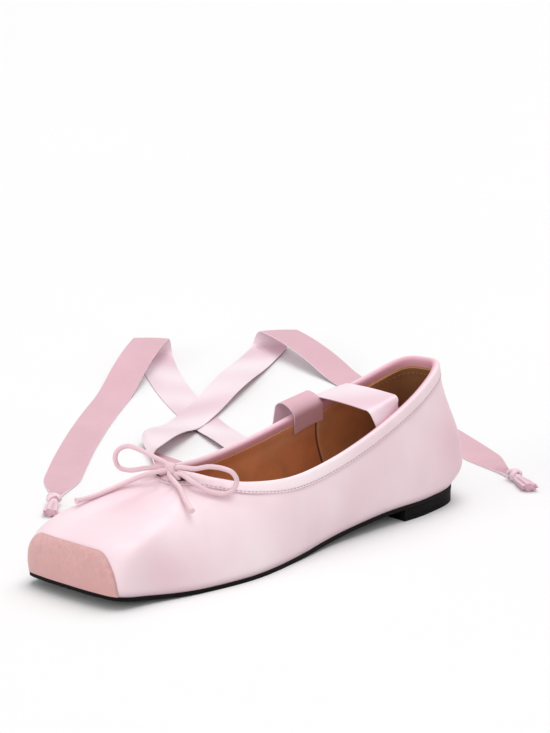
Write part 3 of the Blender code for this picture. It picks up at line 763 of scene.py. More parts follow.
def suede(name, colour):
    """Suede: a brushed nap with cooler patches, deeper at its rim, and a painted shade low down.
    """
    w, s, coord = start_material(name, 0.9, Sheen_Weight=0.5, Sheen_Roughness=0.5,
                                 Specular_IOR_Level=0.2)
    nap = w.group("suede_nap", Vector=coord["Object"], Nap=900.0)
    tone = w.mix(nap["Tone"], shaded(colour, 0.85), shaded(colour, 1.08))
    patches = w.group("soft_mottle", Vector=coord["Object"], Size=150.0)
    cool = (colour[0] * 0.87, colour[1] * 1.05, colour[2] * 1.06, 1.0)
    tone = w.mix(w.math("MULTIPLY", patches["Mask"], 0.55), tone, cool)
    # Painted shade low down on the patch.
    tone = w.mix_mark("low", 0.8, tone, shaded(colour, 0.9))
    tone = w.mix_mark("edge", 0.5, tone, shaded(colour, 0.68))
    w.feed(s["Base Color"], tone)
    bumped(w, s, nap["Height"], 0.5, 0.0002)


def rubber(name):
    """Near-black rubber with a fine grit, paler along its edges."""
    w, s, coord = start_material(name, 0.6, Specular_IOR_Level=0.05)
    grit = w.group("leather_grain", Vector=coord["Object"], Grain=2400.0)
    mottle = w.group("soft_mottle", Vector=coord["Object"], Size=80.0)
    tone = w.mix(mottle["Fine"], (0.004, 0.0035, 0.004, 1), (0.009, 0.008, 0.0085, 1))
    tone = w.mix_mark("edge", 0.3, tone, (0.014, 0.012, 0.012, 1))
    w.feed(s["Base Color"], tone)
    w.feed(s["Roughness"], w.mapped(mottle["Fine"], 0.0, 1.0, 0.46, 0.64))
    bumped(w, s, grit["Height"], 0.3, 0.0001)


def thread(name, colour):
    w, s, coord = start_material(name, 0.6, Sheen_Weight=0.2)
    twist = w.noise(coord["Object"], 2600.0, 2.0)
    w.feed(s["Base Color"], w.mix(twist, shaded(colour, 0.8), shaded(colour, 1.15)))
    bumped(w, s, twist, 0.3, 0.0001)


def make_finishes(looks):
    make_groups()
    look = {key: tuple(getattr(looks, key)) for key in looks.__annotations__}
    pale, deep = look["satin_colour"], look["satin_deep"]
    satin("flat_satin", pale, deep, 1500.0, painted_shading=True, drape=0.2)
    satin("flat_binding", pale, deep, 2200.0, rough=0.55, painted_shading=True,
          inside=look["inside_colour"])
    pale, deep, back = look["ribbon_colour"], look["ribbon_deep"], look["ribbon_back"]
    satin("flat_ribbon_face", pale, deep, 2600.0, rough=0.34, painted_shading=True,
          weave_depth=0.06)
    # The knot in the ribbon's deeper colour, with painted shade in its folds.
    satin("flat_ribbon_knot", deep, (deep[0] * 0.88, deep[1] * 0.78, deep[2] * 0.80),
          2600.0, rough=0.42, painted_shading=True, weave_depth=0.06)
    satin("flat_ribbon_back", back, shaded(back, 0.82)[:3], 2600.0, rough=0.62,
          sheen=0.3, weave_depth=0.08)
    satin("flat_cord", look["cord_colour"], shaded(look["cord_colour"], 0.8)[:3],
          1400.0, sheen=0.3, weave_depth=0.16)
    leather("flat_lining", look["lining_colour"])
    leather("flat_heel_lining", look["heel_lining_colour"])
    suede("flat_suede", look["suede_colour"])
    rubber("flat_rubber")
    thread("flat_thread", look["thread_colour"])
    thread("flat_tan_thread", (0.38, 0.20, 0.10))
    # A dark strip that is a painted shadow beside the heel panel's front edges.
    thread("flat_cut_edge", (0.13, 0.042, 0.018))
    # Near-black, for the painted shade in the casing slits.
    thread("flat_slit", (0.022, 0.008, 0.01))
    w, s, coord = start_material("stage_floor", 0.95, Specular_IOR_Level=0.1)
    w.feed(s["Base Color"], w.mix(w.noise(coord["Object"], 3.0),
                                  (0.80, 0.80, 0.805, 1), (0.82, 0.82, 0.82, 1)))


# ------------------------------------------------------------- property groups
def size_prop(name, text, default):
    return FloatProperty(name=name, description=text, default=default,
                         unit="LENGTH", subtype="DISTANCE", precision=4)


def colour_prop(name, text, *default):
    return FloatVectorProperty(name=name, description=text, default=default,
                               size=3, min=0.0, max=1.0, subtype="COLOR")


class FLAT_PG_sizes(PropertyGroup):
    cord: size_prop("Cord", "Diameter of the bow's cord", 0.0024)
    ribbon_width: size_prop("Ribbon width", "Width of the ankle ribbons", 0.019)
    ribbon_length: size_prop("Ribbon length", "Length of each ribbon outside", 0.68)
    stitch: size_prop("Stitch", "Pitch of the topline's stitches", 0.0021)
    thread: size_prop("Thread", "Thickness of the thread", 0.00046)
    across: IntProperty(name="Ribbon strips", description="Faces across a ribbon",
                        default=16, min=4, max=24)


class FLAT_PG_looks(PropertyGroup):
    satin_colour: colour_prop("Satin", "Face of the satin", 0.86, 0.695, 0.74)
    satin_deep: colour_prop("Satin deep", "Deeper satin", 0.77, 0.55, 0.612)
    ribbon_colour: colour_prop("Ribbon", "Face of the ribbons", 0.86, 0.71, 0.76)
    ribbon_deep: colour_prop("Ribbon deep", "Deeper ribbon", 0.80, 0.60, 0.67)
    ribbon_back: colour_prop("Ribbon back", "Back of the ribbons", 0.66, 0.385, 0.45)
    cord_colour: colour_prop("Cord", "Bow cord", 0.79, 0.555, 0.605)
    suede_colour: colour_prop("Suede", "Toe patch", 0.655, 0.355, 0.345)
    lining_colour: colour_prop("Lining", "Leather lining", 0.58, 0.225, 0.092)
    heel_lining_colour: colour_prop("Heel lining", "Heel panel", 0.58, 0.265, 0.112)
    # The binding's painted shade inside the shoe.
    inside_colour: colour_prop("Inside", "Binding inside the shoe", 0.70, 0.36, 0.44)
    thread_colour: colour_prop("Thread", "Pink thread", 0.58, 0.33, 0.39)


def sizes():
    return bpy.context.scene.flat_sizes


# ---------------------------------------------------------------------- stage
VIEW_TURN = 44.4      # degrees from the toe's direction towards the outer side
VIEW_RISE = 16.47
VIEW_AWAY = 2.234
VIEW_TARGET = (0.0, 0.0, 30.0)
VIEW_AIM = (8.2, 55.12)   # how far right of the target and above it the camera aims
VIEW_LENS = 228.72
VIEW_SENSOR = 36.0
WORLD_GLOW = 0.57
LIGHTS = (
    # name, power, size, turn from the toe's direction, rise, distance
    ("key_light", 252.0, 7.0, 203.0, 64.0, 8.4),
    ("top_light", 222.0, 6.0, 150.0, 84.0, 8.4),
    ("front_light", 158.0, 6.0, 52.0, 28.0, 9.0),
    ("toe_light", 195.0, 5.0, -8.0, 14.0, 9.0),
)


def towards(turn, rise):
    """Direction by its turn from the toe's and its rise, in degrees."""
    t, r = math.radians(turn), math.radians(rise)
    return Vector((math.sin(t) * math.cos(r), -math.cos(t) * math.cos(r), math.sin(r)))


class FLAT_OT_stage(Operator):
    """Floor, soft lights and the camera"""
    bl_idname = "flat.stage"
    bl_label = "Stage"

    def execute(self, context):
        self.camera(context)
        self.floor(context)
        self.lights(context)
        context.scene.view_settings.view_transform = "Standard"
        return {"FINISHED"}

    def camera(self, context):
        back = towards(VIEW_TURN, VIEW_RISE)
        right = towards(VIEW_TURN + 90.0, 0.0)
        up = back.cross(right)
        aim = (right * VIEW_AIM[0] + up * VIEW_AIM[1]) * MM - back * VIEW_AWAY
        data = bpy.data.cameras.new("view_camera")
        data.lens = VIEW_LENS
        data.sensor_width = VIEW_SENSOR
        data.clip_end = 200.0
        cam = bpy.data.objects.new("view_camera", data)
        cam.location = Vector(place(VIEW_TARGET)[0]) + back * VIEW_AWAY
        cam.rotation_euler = aim.to_track_quat("-Z", "Y").to_euler()
        context.scene.collection.objects.link(cam)
        context.scene.camera = cam

    def floor(self, context):
        bpy.ops.object.select_all(action="DESELECT")
        bpy.ops.mesh.primitive_grid_add(x_subdivisions=8, y_subdivisions=8,
                                        size=160.0, location=(0.0, 0.0, 0.0))
        floor = context.object
        floor.name = "stage_floor"
        floor.data.materials.append(bpy.data.materials["stage_floor"])

    def lights(self, context):
        world = context.scene.world or bpy.data.worlds.new("studio")
        context.scene.world = world
        world.use_nodes = True
        glow = world.node_tree.nodes["Background"]
        glow.inputs["Color"].default_value = (1.0, 0.985, 0.985, 1.0)
        glow.inputs["Strength"].default_value = WORLD_GLOW
        for name, power, size, turn, rise, away in LIGHTS:
            data = bpy.data.lights.new(name, "AREA")
            data.energy = power
            data.shape = "SQUARE"
            data.size = size
            light = bpy.data.objects.new(name, data)
            light.location = towards(turn, rise) * away
            light.rotation_euler = light.location.to_track_quat("Z", "Y").to_euler()
            light.visible_camera = False
            context.scene.collection.objects.link(light)


# ------------------------------------------------------------------------ bow
def cord_line(slit, loop, tail):
    """A cord's route: out of its slit, into the knot, round the loop, through
    the knot again and out as the tail."""
    x, y, _ = slit
    knot = np.array(KNOT_AT)
    side = -1.0 if x < 0 else 1.0
    route = np.array([(x, y + 1.3, CORD_LEAVES), (x * 0.78, y - 0.2, CORD_LEAVES + 2.4),
                      knot + (side * 1.2, -0.6, -0.6), *(knot + loop),
                      knot + (side * 0.6, -1.2, -0.6), *(knot + tail)])
    before, after = 2 * route[0] - route[1], 2 * route[-1] - route[-2]
    return np.vstack([smooth([before, *route, after], 8), route[-1:]])


def casing_slits():
    """The worked slits in the binding that the cords come out of, each with a near-black sheet of
    painted shade in its opening.
    """
    wall = Wall(FINE)
    tip = wall.count // 2
    turn = np.linspace(0.0, 2 * np.pi, SLIT_SIDES + 1)
    for name, (x, y, deep) in zip(("left", "right"), CASING_SLITS):
        i = min(range(tip - 60, tip + 60), key=lambda k: np.linalg.norm(
            wall.at(k, wall.full[k] - 5.5, 0.8)[:2] - (x, y)))
        apart = np.linalg.norm(wall.between(i + 1, deep) - wall.between(i - 1, deep)) / 2
        rings = [[wall.between(i + share * SLIT_LONG / apart * math.cos(t),
                               deep - share * SLIT_TALL * math.sin(t), 1.0)
                  for t in turn] for share in (1.0, 0.7, 0.35)]
        rim = tube_piece("casing_rim_" + name, rings[0], SLIT_RIM, "flat_thread", 8)
        dress(rim, "satin_binding")
        faces = [face for _, _, face in cells(len(rings), SLIT_SIDES)]
        faces.append(tuple(range(2 * SLIT_SIDES, 3 * SLIT_SIDES)))
        # A near-black sheet over the opening: a painted shade.
        hole = make_piece("casing_slit_" + name, [p for ring in rings for p in ring[:-1]],
                          faces, ["flat_slit"])
        finish_with(hole, "SOLIDIFY", thickness=SLIT_SHADE_SHEET, offset=-1.0)
        dress(hole, "satin_binding")


class FLAT_OT_bow(Operator):
    """The cord bow at the throat: two cords and the knot"""
    bl_idname = "flat.bow"
    bl_label = "Bow"

    def execute(self, context):
        thick = sizes().cord / MM
        knot = self.knot(thick)
        casing_slits()
        for side, slit, loop, tail in (
                ("left", CASING_SLITS[0], BOW_LOOP_LEFT, BOW_TAIL_LEFT),
                ("right", CASING_SLITS[1], BOW_LOOP_RIGHT, BOW_TAIL_RIGHT)):
            line = cord_line(slit, loop, tail)
            arc = arc_of(line)
            radii = thick / 2 * (1.0 + 0.30 * bell(arc[-1] - arc, 1.6))
            cord = tube_piece("bow_cord_" + side, line, radii, "flat_cord", CORD_SIDES)
            dress(cord, "satin_cord", "bow_loop_" + side, "bow_tail_" + side)
        return {"FINISHED"}

    def knot(self, thick):
        """The wraps of cord round the middle."""
        x, y, z = KNOT_AT
        line = []
        for share in np.arange(KNOT_STEPS + 1) / KNOT_STEPS:
            a = 2 * math.pi * KNOT_TURNS * share - 1.2
            line.append((x - 1.9 + 4.5 * share, y + 1.55 * math.cos(a),
                         z + 1.65 * math.sin(a)))
        knot = tube_piece("bow_knot_wraps", line, thick / 2 * 0.98, "flat_cord")
        return dress(knot, "satin_cord", "bow_knot")


# -------------------------------------------------------------------- ribbons
def band_frame(heading, slope, tilt):
    """Line and width vectors of a band with this heading, slope and tilt."""
    h, c, t = (math.radians(a) for a in (heading, slope, tilt))
    line = Vector((math.sin(h) * math.cos(c), math.cos(h) * math.cos(c), math.sin(c)))
    level = Vector((math.cos(h), -math.sin(h), 0.0))
    return line, level * math.cos(t) + level.cross(line) * math.sin(t)


def walk(start, line, width, rows, folds=None):
    """Follow a flat band; along each row it turns evenly about one axis.
    The rows that turn it over are listed in folds."""
    p, u = Vector(start), Vector(line).normalized()
    w = Vector(width)
    w = (w - u * w.dot(u)).normalized()
    track = [(p.copy(), u.copy(), w.copy())]
    for row in rows:
        u1, w1 = band_frame(row["heading"], row["slope"], row["tilt"])
        before = Matrix((u, w, u.cross(w)))
        after = Matrix((u1, w1, u1.cross(w1))).transposed()
        axis, angle = (after @ before).to_quaternion().to_axis_angle()
        if angle > math.pi:
            axis, angle = -axis, 2 * math.pi - angle
        if angle > OVER and axis.cross(u).z < 0:      # turned over, not under
            axis, angle = -axis, 2 * math.pi - angle
        parts = max(int(round(row["run"])), 1)
        half = Matrix.Rotation(angle / parts / 2, 3, axis)
        if folds is not None and angle > FOLDED:
            folds.append((len(track) - 1, row["run"], axis.copy(), angle, u, w))
        for _ in range(parts):
            u, w = half @ u, half @ w
            p = p + u * (row["run"] / parts)
            u, w = half @ u, half @ w
            track.append((p.copy(), u.copy(), w.copy()))
    return track


def solve_runs(start, line, width, table, total):
    """Fill in the open runs: down to the floor, and up to the full length."""
    floor = RIBBON_THICK / 2 + CLEAR
    rows = [dict(zip(RIBBON_COLUMNS, row)) for row in table]
    for k, row in enumerate(rows[:-1]):
        if row["run"] is None:
            low, high = 1.0, 90.0
            for _ in range(40):
                row["run"] = (low + high) / 2
                end = walk(start, line, width, rows[:k + 2])[-1][0]
                if end.z > floor + RIBBON_RESTS[row["stretch"]]:
                    low = row["run"]
                else:
                    high = row["run"]
    rows[-1]["run"] = total - sum(r["run"] for r in rows[:-1])
    return rows


def lip_frame(wall, station, medial):
    """Middle of the bound topline at a station, its direction, its up and the
    way into the shoe."""
    rows = range(wall.count // 2, wall.count) if medial else range(wall.count // 2)
    i = min(rows, key=lambda k: abs(HALF - wall.at(k, wall.full[k])[1] - station))
    step = -1 if medial else 1
    a, b = (wall.at(k, wall.full[k], -WALL / 2) for k in (i + step, i - step))
    along = Vector(b - a).normalized()
    top = wall.full[i]
    up = Vector(wall.at(i, top) - wall.at(i, top - 3.0))
    inward = Vector(wall.at(i, top - 4.0, -1.0) - wall.at(i, top - 4.0))
    up, inward = ((v - along * v.dot(along)).normalized() for v in (up, inward))
    return Vector(wall.at(i, top, -WALL / 2)), along, up, inward


def across_band(p, w, n, x, arc, folds):
    """Points and normals across a band. A band that is turned over along a
    slanting line bends round it over its whole width, so its edges bend
    before and after its middle."""
    base = p[:, None] + x[None, :, None] * w[:, None]
    normal = np.repeat(n[:, None], len(x), 1)
    middle = len(x) // 2
    for start, run, axis, turn, u0, w0 in folds:
        rate = turn / run
        m = axis.cross(u0.cross(w0))
        slope = rate * w0.dot(m) / u0.dot(m)
        reach = abs(slope) * x[-1]
        for r in range(len(p)):
            here = (arc[r] - start) * rate
            if not -reach < here < turn + reach:
                continue
            centre = min(max(here, 0.0), turn)

            def bent(at):
                bend = min(max(here + slope * at, 0.0), turn) - centre
                return Matrix.Rotation(bend, 3, axis)

            for way in (1, -1):
                q = Vector(p[r])
                c = middle
                while 0 <= c + way < len(x):
                    mid = (x[c] + x[c + way]) / 2
                    q = q + bent(mid) @ Vector(w[r]) * (x[c + way] - x[c])
                    c += way
                    base[r, c] = q
                    normal[r, c] = bent(x[c]) @ Vector(n[r])
    return base, normal


class FLAT_OT_ribbons(Operator):
    """The two ankle ribbons, laid down, with their knotted ends"""
    bl_idname = "flat.ribbons"
    bl_label = "Ribbons"

    def execute(self, context):
        wall = Wall(AROUND)
        self.ribbon(wall, "medial", RIBBON_MEDIAL, SEWN_MEDIAL)
        self.ribbon(wall, "lateral", RIBBON_LATERAL, SEWN_LATERAL)
        return {"FINISHED"}

    def ribbon(self, wall, side, table, station):
        medial = side == "medial"
        middle, along, up, inward = lip_frame(wall, station, medial)
        start = middle + up * (GAP + 0.2)
        rows = solve_runs(start, up, along, table, sizes().ribbon_length / MM)
        folds = []
        track = walk(start, up, along, rows, folds)
        sewn = [start - up * deep + inward * SEWN_IN
                for deep in np.linspace(SEWN_DEEP, 1.0, 17)]
        count = len(sewn)
        for k, (q, _, _) in enumerate(track):
            q += inward * SEWN_IN * float(1.0 - ease(0.0, 9.0, k))
        p = np.array([tuple(q) for q in sewn] + [tuple(k[0]) for k in track])
        w = np.array([tuple(along)] * count + [tuple(k[2]) for k in track])
        arc = arc_of(p)
        t = unit(np.gradient(p, axis=0))
        w = unit(w - t * (w * t).sum(1)[:, None])
        folds = [(arc[count + fold[0]], *fold[1:]) for fold in folds]
        curl = np.array(inward) * 0.007
        piece = self.band("ribbon_" + side + "_satin", p, w, np.cross(t, w), arc, folds,
                          curl, medial)
        end = self.knotted_end("ribbon_knot_" + side, track[-1][0], track[-1][1])
        line = [start - up * (SEWN_DEEP - 1.5) + inward * (SEWN_IN + 0.22) + along * x
                for x in np.linspace(-8.0, 8.0, 9)]
        row = stitch_row("ribbon_stitches_" + side, line, [tuple(inward)] * 9,
                         "flat_thread", 2.0, 1.4, 0.4)
        dress(row, "satin_ribbon")
        dress(piece, "satin_ribbon", "ribbon_" + side)
        dress(end, "satin_ribbon", "ribbon_end_" + side)

    def band(self, name, p, w, n, arc, folds, curl, face_out):
        """The satin strip with a light crown, selvedges, a bunched end and bands of painted
        sheen.
        """
        wide = sizes().ribbon_width / MM
        left = arc[-1] - arc
        width = BUNCH_WIDE + (wide - BUNCH_WIDE) * ease(0.0, BUNCH_LONG, left)
        thick = BAND_THICK + BUNCH_THICK * (1.0 - ease(0.0, 30.0, left))
        s = np.linspace(-0.5, 0.5, sizes().across + 1)
        x = s * wide
        crown = 0.35 * (1.0 - (2 * s) ** 2)
        lift = crown[None, :] * n[:, 2:3] * ease(12.0, 60.0, arc)[:, None]
        gather = 1.0 - ease(4.0, 46.0, left)
        pleat = np.cos(PLEATS * 2 * np.pi * (s + 0.1))[None, :] * gather[:, None]
        pleat = PLEAT_DEEP * pleat
        flat, n = across_band(p, w, n, x, arc, folds)
        base = p[:, None] + (flat - p[:, None]) * (width / wide)[:, None, None]
        close = 1.0 - ease(9.0, 20.0, arc)
        base = base + (close[:, None] * x ** 2)[:, :, None] * curl
        base = base + (lift + pleat * 0.5)[:, :, None] * n
        hem = 0.05 * bell(0.5 - np.abs(s), 0.035)
        half = (thick[:, None] / 2 + hem[None, :])[:, :, None] * n
        sides = np.array([base + half, base - half])
        sides[:, :, :, 2] += np.maximum(0.12 - sides[:, :, :, 2].min((0, 2)), 0.0)[:, None]
        rows, cols = base.shape[:2]
        size = rows * cols
        faces, uvs, kinds = [], [], []

        def close(r, c, a, b, way=1):
            faces.append((a, b, size + b, size + a)[::way])
            uvs.extend([(arc[r], x[c])] * 4)
            kinds.append(0)

        for r, c, (a, b, e, d) in cells(rows, cols, False):
            q = [(arc[k], x[m]) for k, m in ((r, c), (r, c + 1), (r + 1, c + 1), (r + 1, c))]
            faces += [(a, b, e, d), (size + b, size + a, size + d, size + e)]
            uvs += q + [q[1], q[0], q[3], q[2]]
            kinds += [0, 1] if face_out else [1, 0]
            if c == cols - 2:
                close(r, 0, a - c, d - c)
                close(r, cols - 1, b, e, -1)
        for r, way in ((0, 1), (rows - 1, -1)):
            for c in range(cols - 1):
                close(r, c, r * cols + c + 1, r * cols + c, way)
        # Broad bands of painted sheen along the ribbon: painted highlights and painted shade, by
        # the tone mark.
        painted_sheen = np.sin(arc[:, None] / 13.0 + 0.09 * x) * np.sin(arc[:, None] / 37.0 + 1.0)
        obj = make_piece(name, sides, faces, ["flat_ribbon_face", "flat_ribbon_back"], uvs,
                         {"tone": np.array([painted_sheen, painted_sheen]) * 0.85})
        obj.data.polygons.foreach_set("material_index", kinds)
        clean_up(obj, 50.0)
        return obj

    def knotted_end(self, name, at, line):
        """An overhand knot and the gathered, flared stub past it."""
        line = Vector((line.x, line.y, 0.0)).normalized()
        side = Vector((-line.y, line.x, 0.0))
        base = Vector((at.x, at.y, 0.0))
        rings, folds = [], []
        for along, wide, high, pleat in STUB_RINGS:
            ring = []
            for a in 2 * math.pi * np.arange(STUB_SIDES) / STUB_SIDES:
                fold = 0.5 - 0.5 * math.cos(7 * a + 0.9 * math.sin(2 * a))
                r = 1.0 - pleat * fold
                q = base + line * (along + 0.9 * math.cos(a - 0.6) * (along > 20))
                q += side * (wide * r * math.cos(a))
                q.z = CLEAR + high + high * r * math.sin(a)
                ring.append(tuple(q))
                # The tone mark paints shade in the troughs of the pleats.
                folds.append(fold * float(ease(6.0, 14.0, along)))
            rings.append(ring)
        rim = [Vector(q) for q in ring]
        middle = sum(rim, Vector()) / STUB_SIDES
        for inset, shrink in ((0.5, 0.90), (1.1, 0.60), (0.9, 0.25)):
            rings.append([tuple(middle + (q - middle) * shrink - line * inset)
                          for q in rim])
            # A painted shade, deeper into the stub's end.
            folds += [1.0 - 0.25 * shrink] * STUB_SIDES
        uvs = solid_uvs(0.4 * np.arange(STUB_SIDES + 1), 3.0 * np.arange(len(rings)))
        uvs[-STUB_SIDES:] = [(0.0, 0.0)] * STUB_SIDES
        stub = make_piece(name, rings, solid_faces(len(rings), STUB_SIDES),
                          ["flat_ribbon_knot"], uvs, {"tone": folds})
        clean_up(stub, 50.0)
        pieces = [stub]
        for k, (along, tilt, wide, high, fat) in enumerate(KNOT_WRAPS):
            ring = []
            for a in 2 * math.pi * np.arange(48) / 48:
                lean = math.tan(math.radians(tilt)) * wide * math.cos(a)
                q = base + line * (along + lean) + side * (wide * math.cos(a))
                q.z = 3.5 + high * math.sin(a) * 0.8
                ring.append(tuple(q))
            pieces.append(tube_piece(name + "_wrap" + str(k), ring + ring[:1], fat,
                                     "flat_ribbon_knot", 14, 0.62))
        pick(*pieces)
        bpy.ops.object.join()
        return stub


# ---------------------------------------------------------------------- upper
def crease_depth(grid):
    """How far the satin sinks at each point, by the table of creases."""
    depth = np.zeros(grid.shape[:2])
    for _, a, b, wide, deep in UPPER_CREASES:
        p, q = (np.array([x, HALF - station, z], float) for station, x, z in (a, b))
        run = q - p
        t = np.clip(((grid - p) @ run) / (run @ run), 0.0, 1.0)
        away = np.linalg.norm(grid - (p + t[:, :, None] * run), axis=2)
        depth += deep * bell(away, wide) * (1.0 - 0.6 * np.abs(2 * t - 1))
    return depth


def tension(grid):
    """Very soft dents of cloth over its backing."""
    x, y, z = (grid[:, :, k] for k in range(3))
    wave = (np.sin(0.11 * y + 0.05 * z + 1.0) * np.sin(0.16 * z + 0.03 * y)
            + 0.6 * np.sin(0.21 * y - 0.10 * x + 2.2) * np.sin(0.12 * x + 0.9))
    return 0.14 * wave


def throat_gather(grid):
    """Fine gathers that run out from the slits, where the cord draws."""
    out = np.zeros(grid.shape[:2])
    for slit in CASING_SLITS:
        rel = grid[:, :, :2] - np.array(slit[:2])
        angle = np.arctan2(rel[:, :, 1], rel[:, :, 0])
        out += 0.16 * np.cos(9 * angle) * bell(np.linalg.norm(rel, axis=2) - 7.0, 6.0)
    return out


def heel_fullness(y, height):
    """How much fuller the satin stands over the lower heel."""
    return HEEL_FULL * bell(height - 9.5, 6.5) * (1.0 - ease(14.0, 42.0, HALF - y))


def binding_spread(points):
    """How much deeper the binding comes down round the throat's tip."""
    away = np.linalg.norm(points[:, :2] - np.array(KNOT_AT[:2]), axis=1)
    return 1.0 + BINDING_SPREAD * bell(away, 13.0)


# The painted shade and painted highlights of the satin, as a mark by point.
def satin_tones(grid):
    cast = np.zeros(grid.shape[:2])
    for _, station, x, z, wide, deep in SATIN_PAINTED_LIGHT:
        away = np.linalg.norm(grid - np.array([x, HALF - station, z]), axis=2)
        cast += deep * bell(away, wide)
    return np.clip(cast, -1.0, 1.0)


class FLAT_OT_upper(Operator):
    """The satin upper: one outer shell from feather line to topline"""
    bl_idname = "flat.upper"
    bl_label = "Upper"

    def execute(self, context):
        wall = Wall(FINE)
        cut = wall.full - CUT_BACK
        foot = [wall.ring(0.0, off) - np.array([0.0, 0.0, drop])
                for off, drop in ((-0.9, 0.85), (-0.1, 0.85), (0.14, 0.55))]
        share = np.linspace(0.0, 1.0, UPPER_LEVELS + 1)[1:]
        body = np.array([wall.ring(cut * k) for k in share])
        deep = share[:, None] * cut
        normal = surface_normals(body)
        sink = crease_depth(body) + tension(body) - throat_gather(body)
        sink -= heel_fullness(body[:, :, 1], deep)
        body = body - sink[:, :, None] * normal
        grid = np.concatenate([np.array(foot), body])
        height = np.concatenate([[-1.7, -0.9, -0.5], share * float(cut.mean())])
        none = np.zeros((len(foot), wall.count))
        deep = np.concatenate([none, deep])
        band = BINDING_DEEP * binding_spread(body[-1]) - CUT_BACK
        # The seam mark: a painted shade at the feather line, under the binding's lower edge and
        # in the dents, and a darker line along the back seam.
        seam = bell(deep, 1.6) + 0.55 * bell(cut - band - deep, 1.1)
        seam = seam + 0.35 * np.r_[none, np.clip(sink, 0, 1)]
        back = np.abs(grid[:, :, 0]) + 200.0 * (grid[:, :, 1] < 100.0)
        grid = grid - (0.35 * bell(back, 0.55))[:, :, None] * np.concatenate(
            [surface_normals(grid)[:3], normal])
        seam = np.clip(seam + 0.8 * bell(back, 0.5), 0.0, 1.0)
        obj = grid_piece("satin_upper", grid, wall.round[None, :], height, "flat_satin",
                         marks={"seam": seam, "tone": satin_tones(grid)})
        thicken(obj, SATIN_SHELL)
        dress(obj, "satin", "upper")
        self.back_stitches(wall)
        return {"FINISHED"}

    def back_stitches(self, wall):
        """Two rows of fine stitches beside the back seam."""
        heights = np.linspace(3.0, wall.full[0] - BINDING_DEEP - 1.5, 30)
        for side, column in (("out", 1), ("inn", wall.count - 1)):
            line = [wall.at(column, h, 0.03 + heel_fullness(HALF, h)) for h in heights]
            out = [wall.at(column, h, 1.0) - wall.at(column, h) for h in heights]
            dress(stitch_row("back_stitches_" + side, line, out, "flat_thread",
                             2.0, 1.3, 0.3), "satin")


# --------------------------------------------------------------------- lining
def lining_face(wall, column, deep, extra=0.0, off=0.0):
    """A point on the lining's face at a depth under the topline."""
    into = WALL + 0.25 + extra + 0.95 * float(1.0 - ease(4.0, 11.0, deep))
    return wall.between(column, deep, off - into)


def heel_panel(deep):
    """The heel panel's columns; its front edge leans forward to the topline."""
    reach = FINE * (2.74 - 0.30 * ease(4.0, 50.0, deep))
    return reach * np.linspace(-1.0, 1.0, PANEL_COLUMNS)


class FLAT_OT_lining(Operator):
    """The leather lining and the heel panel laid over it"""
    bl_idname = "flat.lining"
    bl_label = "Lining"

    def execute(self, context):
        wall = Wall(FINE)
        self.shell(wall, "leather_lining", lambda deep: np.arange(wall.count), True,
                   LINING_TOP, 0.0, "flat_lining")
        self.shell(wall, "heel_lining", heel_panel, False, LINING_TOP + 0.4, PANEL_OFF,
                   "flat_heel_lining")
        self.stitches(wall)
        return {"FINISHED"}

    def shell(self, wall, name, columns_at, closed, top, extra, finish):
        grid, height = [], []
        for k in range(LINING_LEVELS + 1):
            share = 1.0 - (1.0 - k / LINING_LEVELS) ** 1.7
            ring = []
            for j, i in enumerate(columns_at(top)):
                low = wall.full[int(round(i)) % wall.count] - CUT_BACK
                deep = low + (top - low) * share
                ring.append(lining_face(wall, columns_at(deep)[j], deep, extra))
            grid.append(ring)
            height.append(share * 40.0)
        grid = np.array(grid)
        run = arc_of(grid[LINING_LEVELS // 2])
        rise = np.linalg.norm(grid - grid[-1], axis=2)
        edge = bell(rise, 0.25)
        if closed:
            run = np.r_[run, run[-1] + run[1]]
        else:
            near = np.minimum(run, run[-1] - run)
            edge = np.maximum(edge, bell(near, 0.3)[None, :])
        # The tone mark: a painted shade deepest at the heel's back, and a painted highlight under
        # the topline round the quarter.
        station = HALF - grid[:, :, 1]
        tone = 1.0 - ease(8.0, 42.0, station)
        tone = tone - 0.95 * bell(station - 76.0, 28.0) * (1.0 - ease(0.0, 16.0, rise))
        obj = grid_piece(name, grid, run[None, :], height, finish, closed,
                         {"edge": edge, "tone": tone})
        edit(obj, flip_normals={})
        thicken(obj, LINING_LEATHER, 0.0002)
        dress(obj, "tan_leather")

    def stitches(self, wall):
        """A row under the panel's top edge and one beside each front edge."""
        rows = {"top": [(column, PANEL_SEAM) for column in heel_panel(PANEL_SEAM)[6:-6]]}
        for name, j, way in (("out", -1, 1.0), ("inn", 0, -1.0)):
            rows["front_" + name] = [(heel_panel(deep)[j] - 2.2 * way, deep)
                                     for deep in np.linspace(PANEL_SEAM, 46.0, 30)]
            # A dark strip on the lining in front of each front edge: a painted shadow of the
            # panel's edge.
            line = [lining_face(wall, heel_panel(deep)[j] + 0.22 * way, deep, 0.0, -0.15)
                    for deep in np.linspace(5.2, 48.0, 40)]
            dress(tube_piece("heel_panel_edge_" + name, line, 0.55, "flat_cut_edge",
                             8, 0.6), "tan_leather")
        for name, places in rows.items():
            line = [lining_face(wall, i, deep, PANEL_OFF, -0.02) for i, deep in places]
            out = [lining_face(wall, i, deep, PANEL_OFF, -1.02) - p
                   for (i, deep), p in zip(places, line)]
            dress(stitch_row("heel_panel_" + name, line, out, "flat_tan_thread",
                             2.4, 1.6, 0.35), "tan_leather")


# -------------------------------------------------------------------- binding
BINDING_PROFILE = (
    # depth under the topline, distance out of the wall's outside
    (6.30, -0.20), (6.48, 0.08), (6.46, 0.30), (6.32, 0.44), (6.05, 0.48),
    (5.85, 0.42), (5.60, 0.36), (5.35, 0.42), (4.90, 0.56), (3.90, 0.70),
    (2.60, 0.84), (1.50, 0.90), (0.60, 0.86), (0.00, 0.66), (-0.42, 0.20),
    (-0.62, -0.50), (-0.64, -1.30), (-0.48, -2.05), (-0.05, -2.60), (0.70, -2.86),
    (1.80, -2.93), (3.00, -2.85), (4.00, -2.62), (4.80, -2.45), (4.90, -1.60),
)
BINDING_TOP = 13       # the profile's row on the topline itself


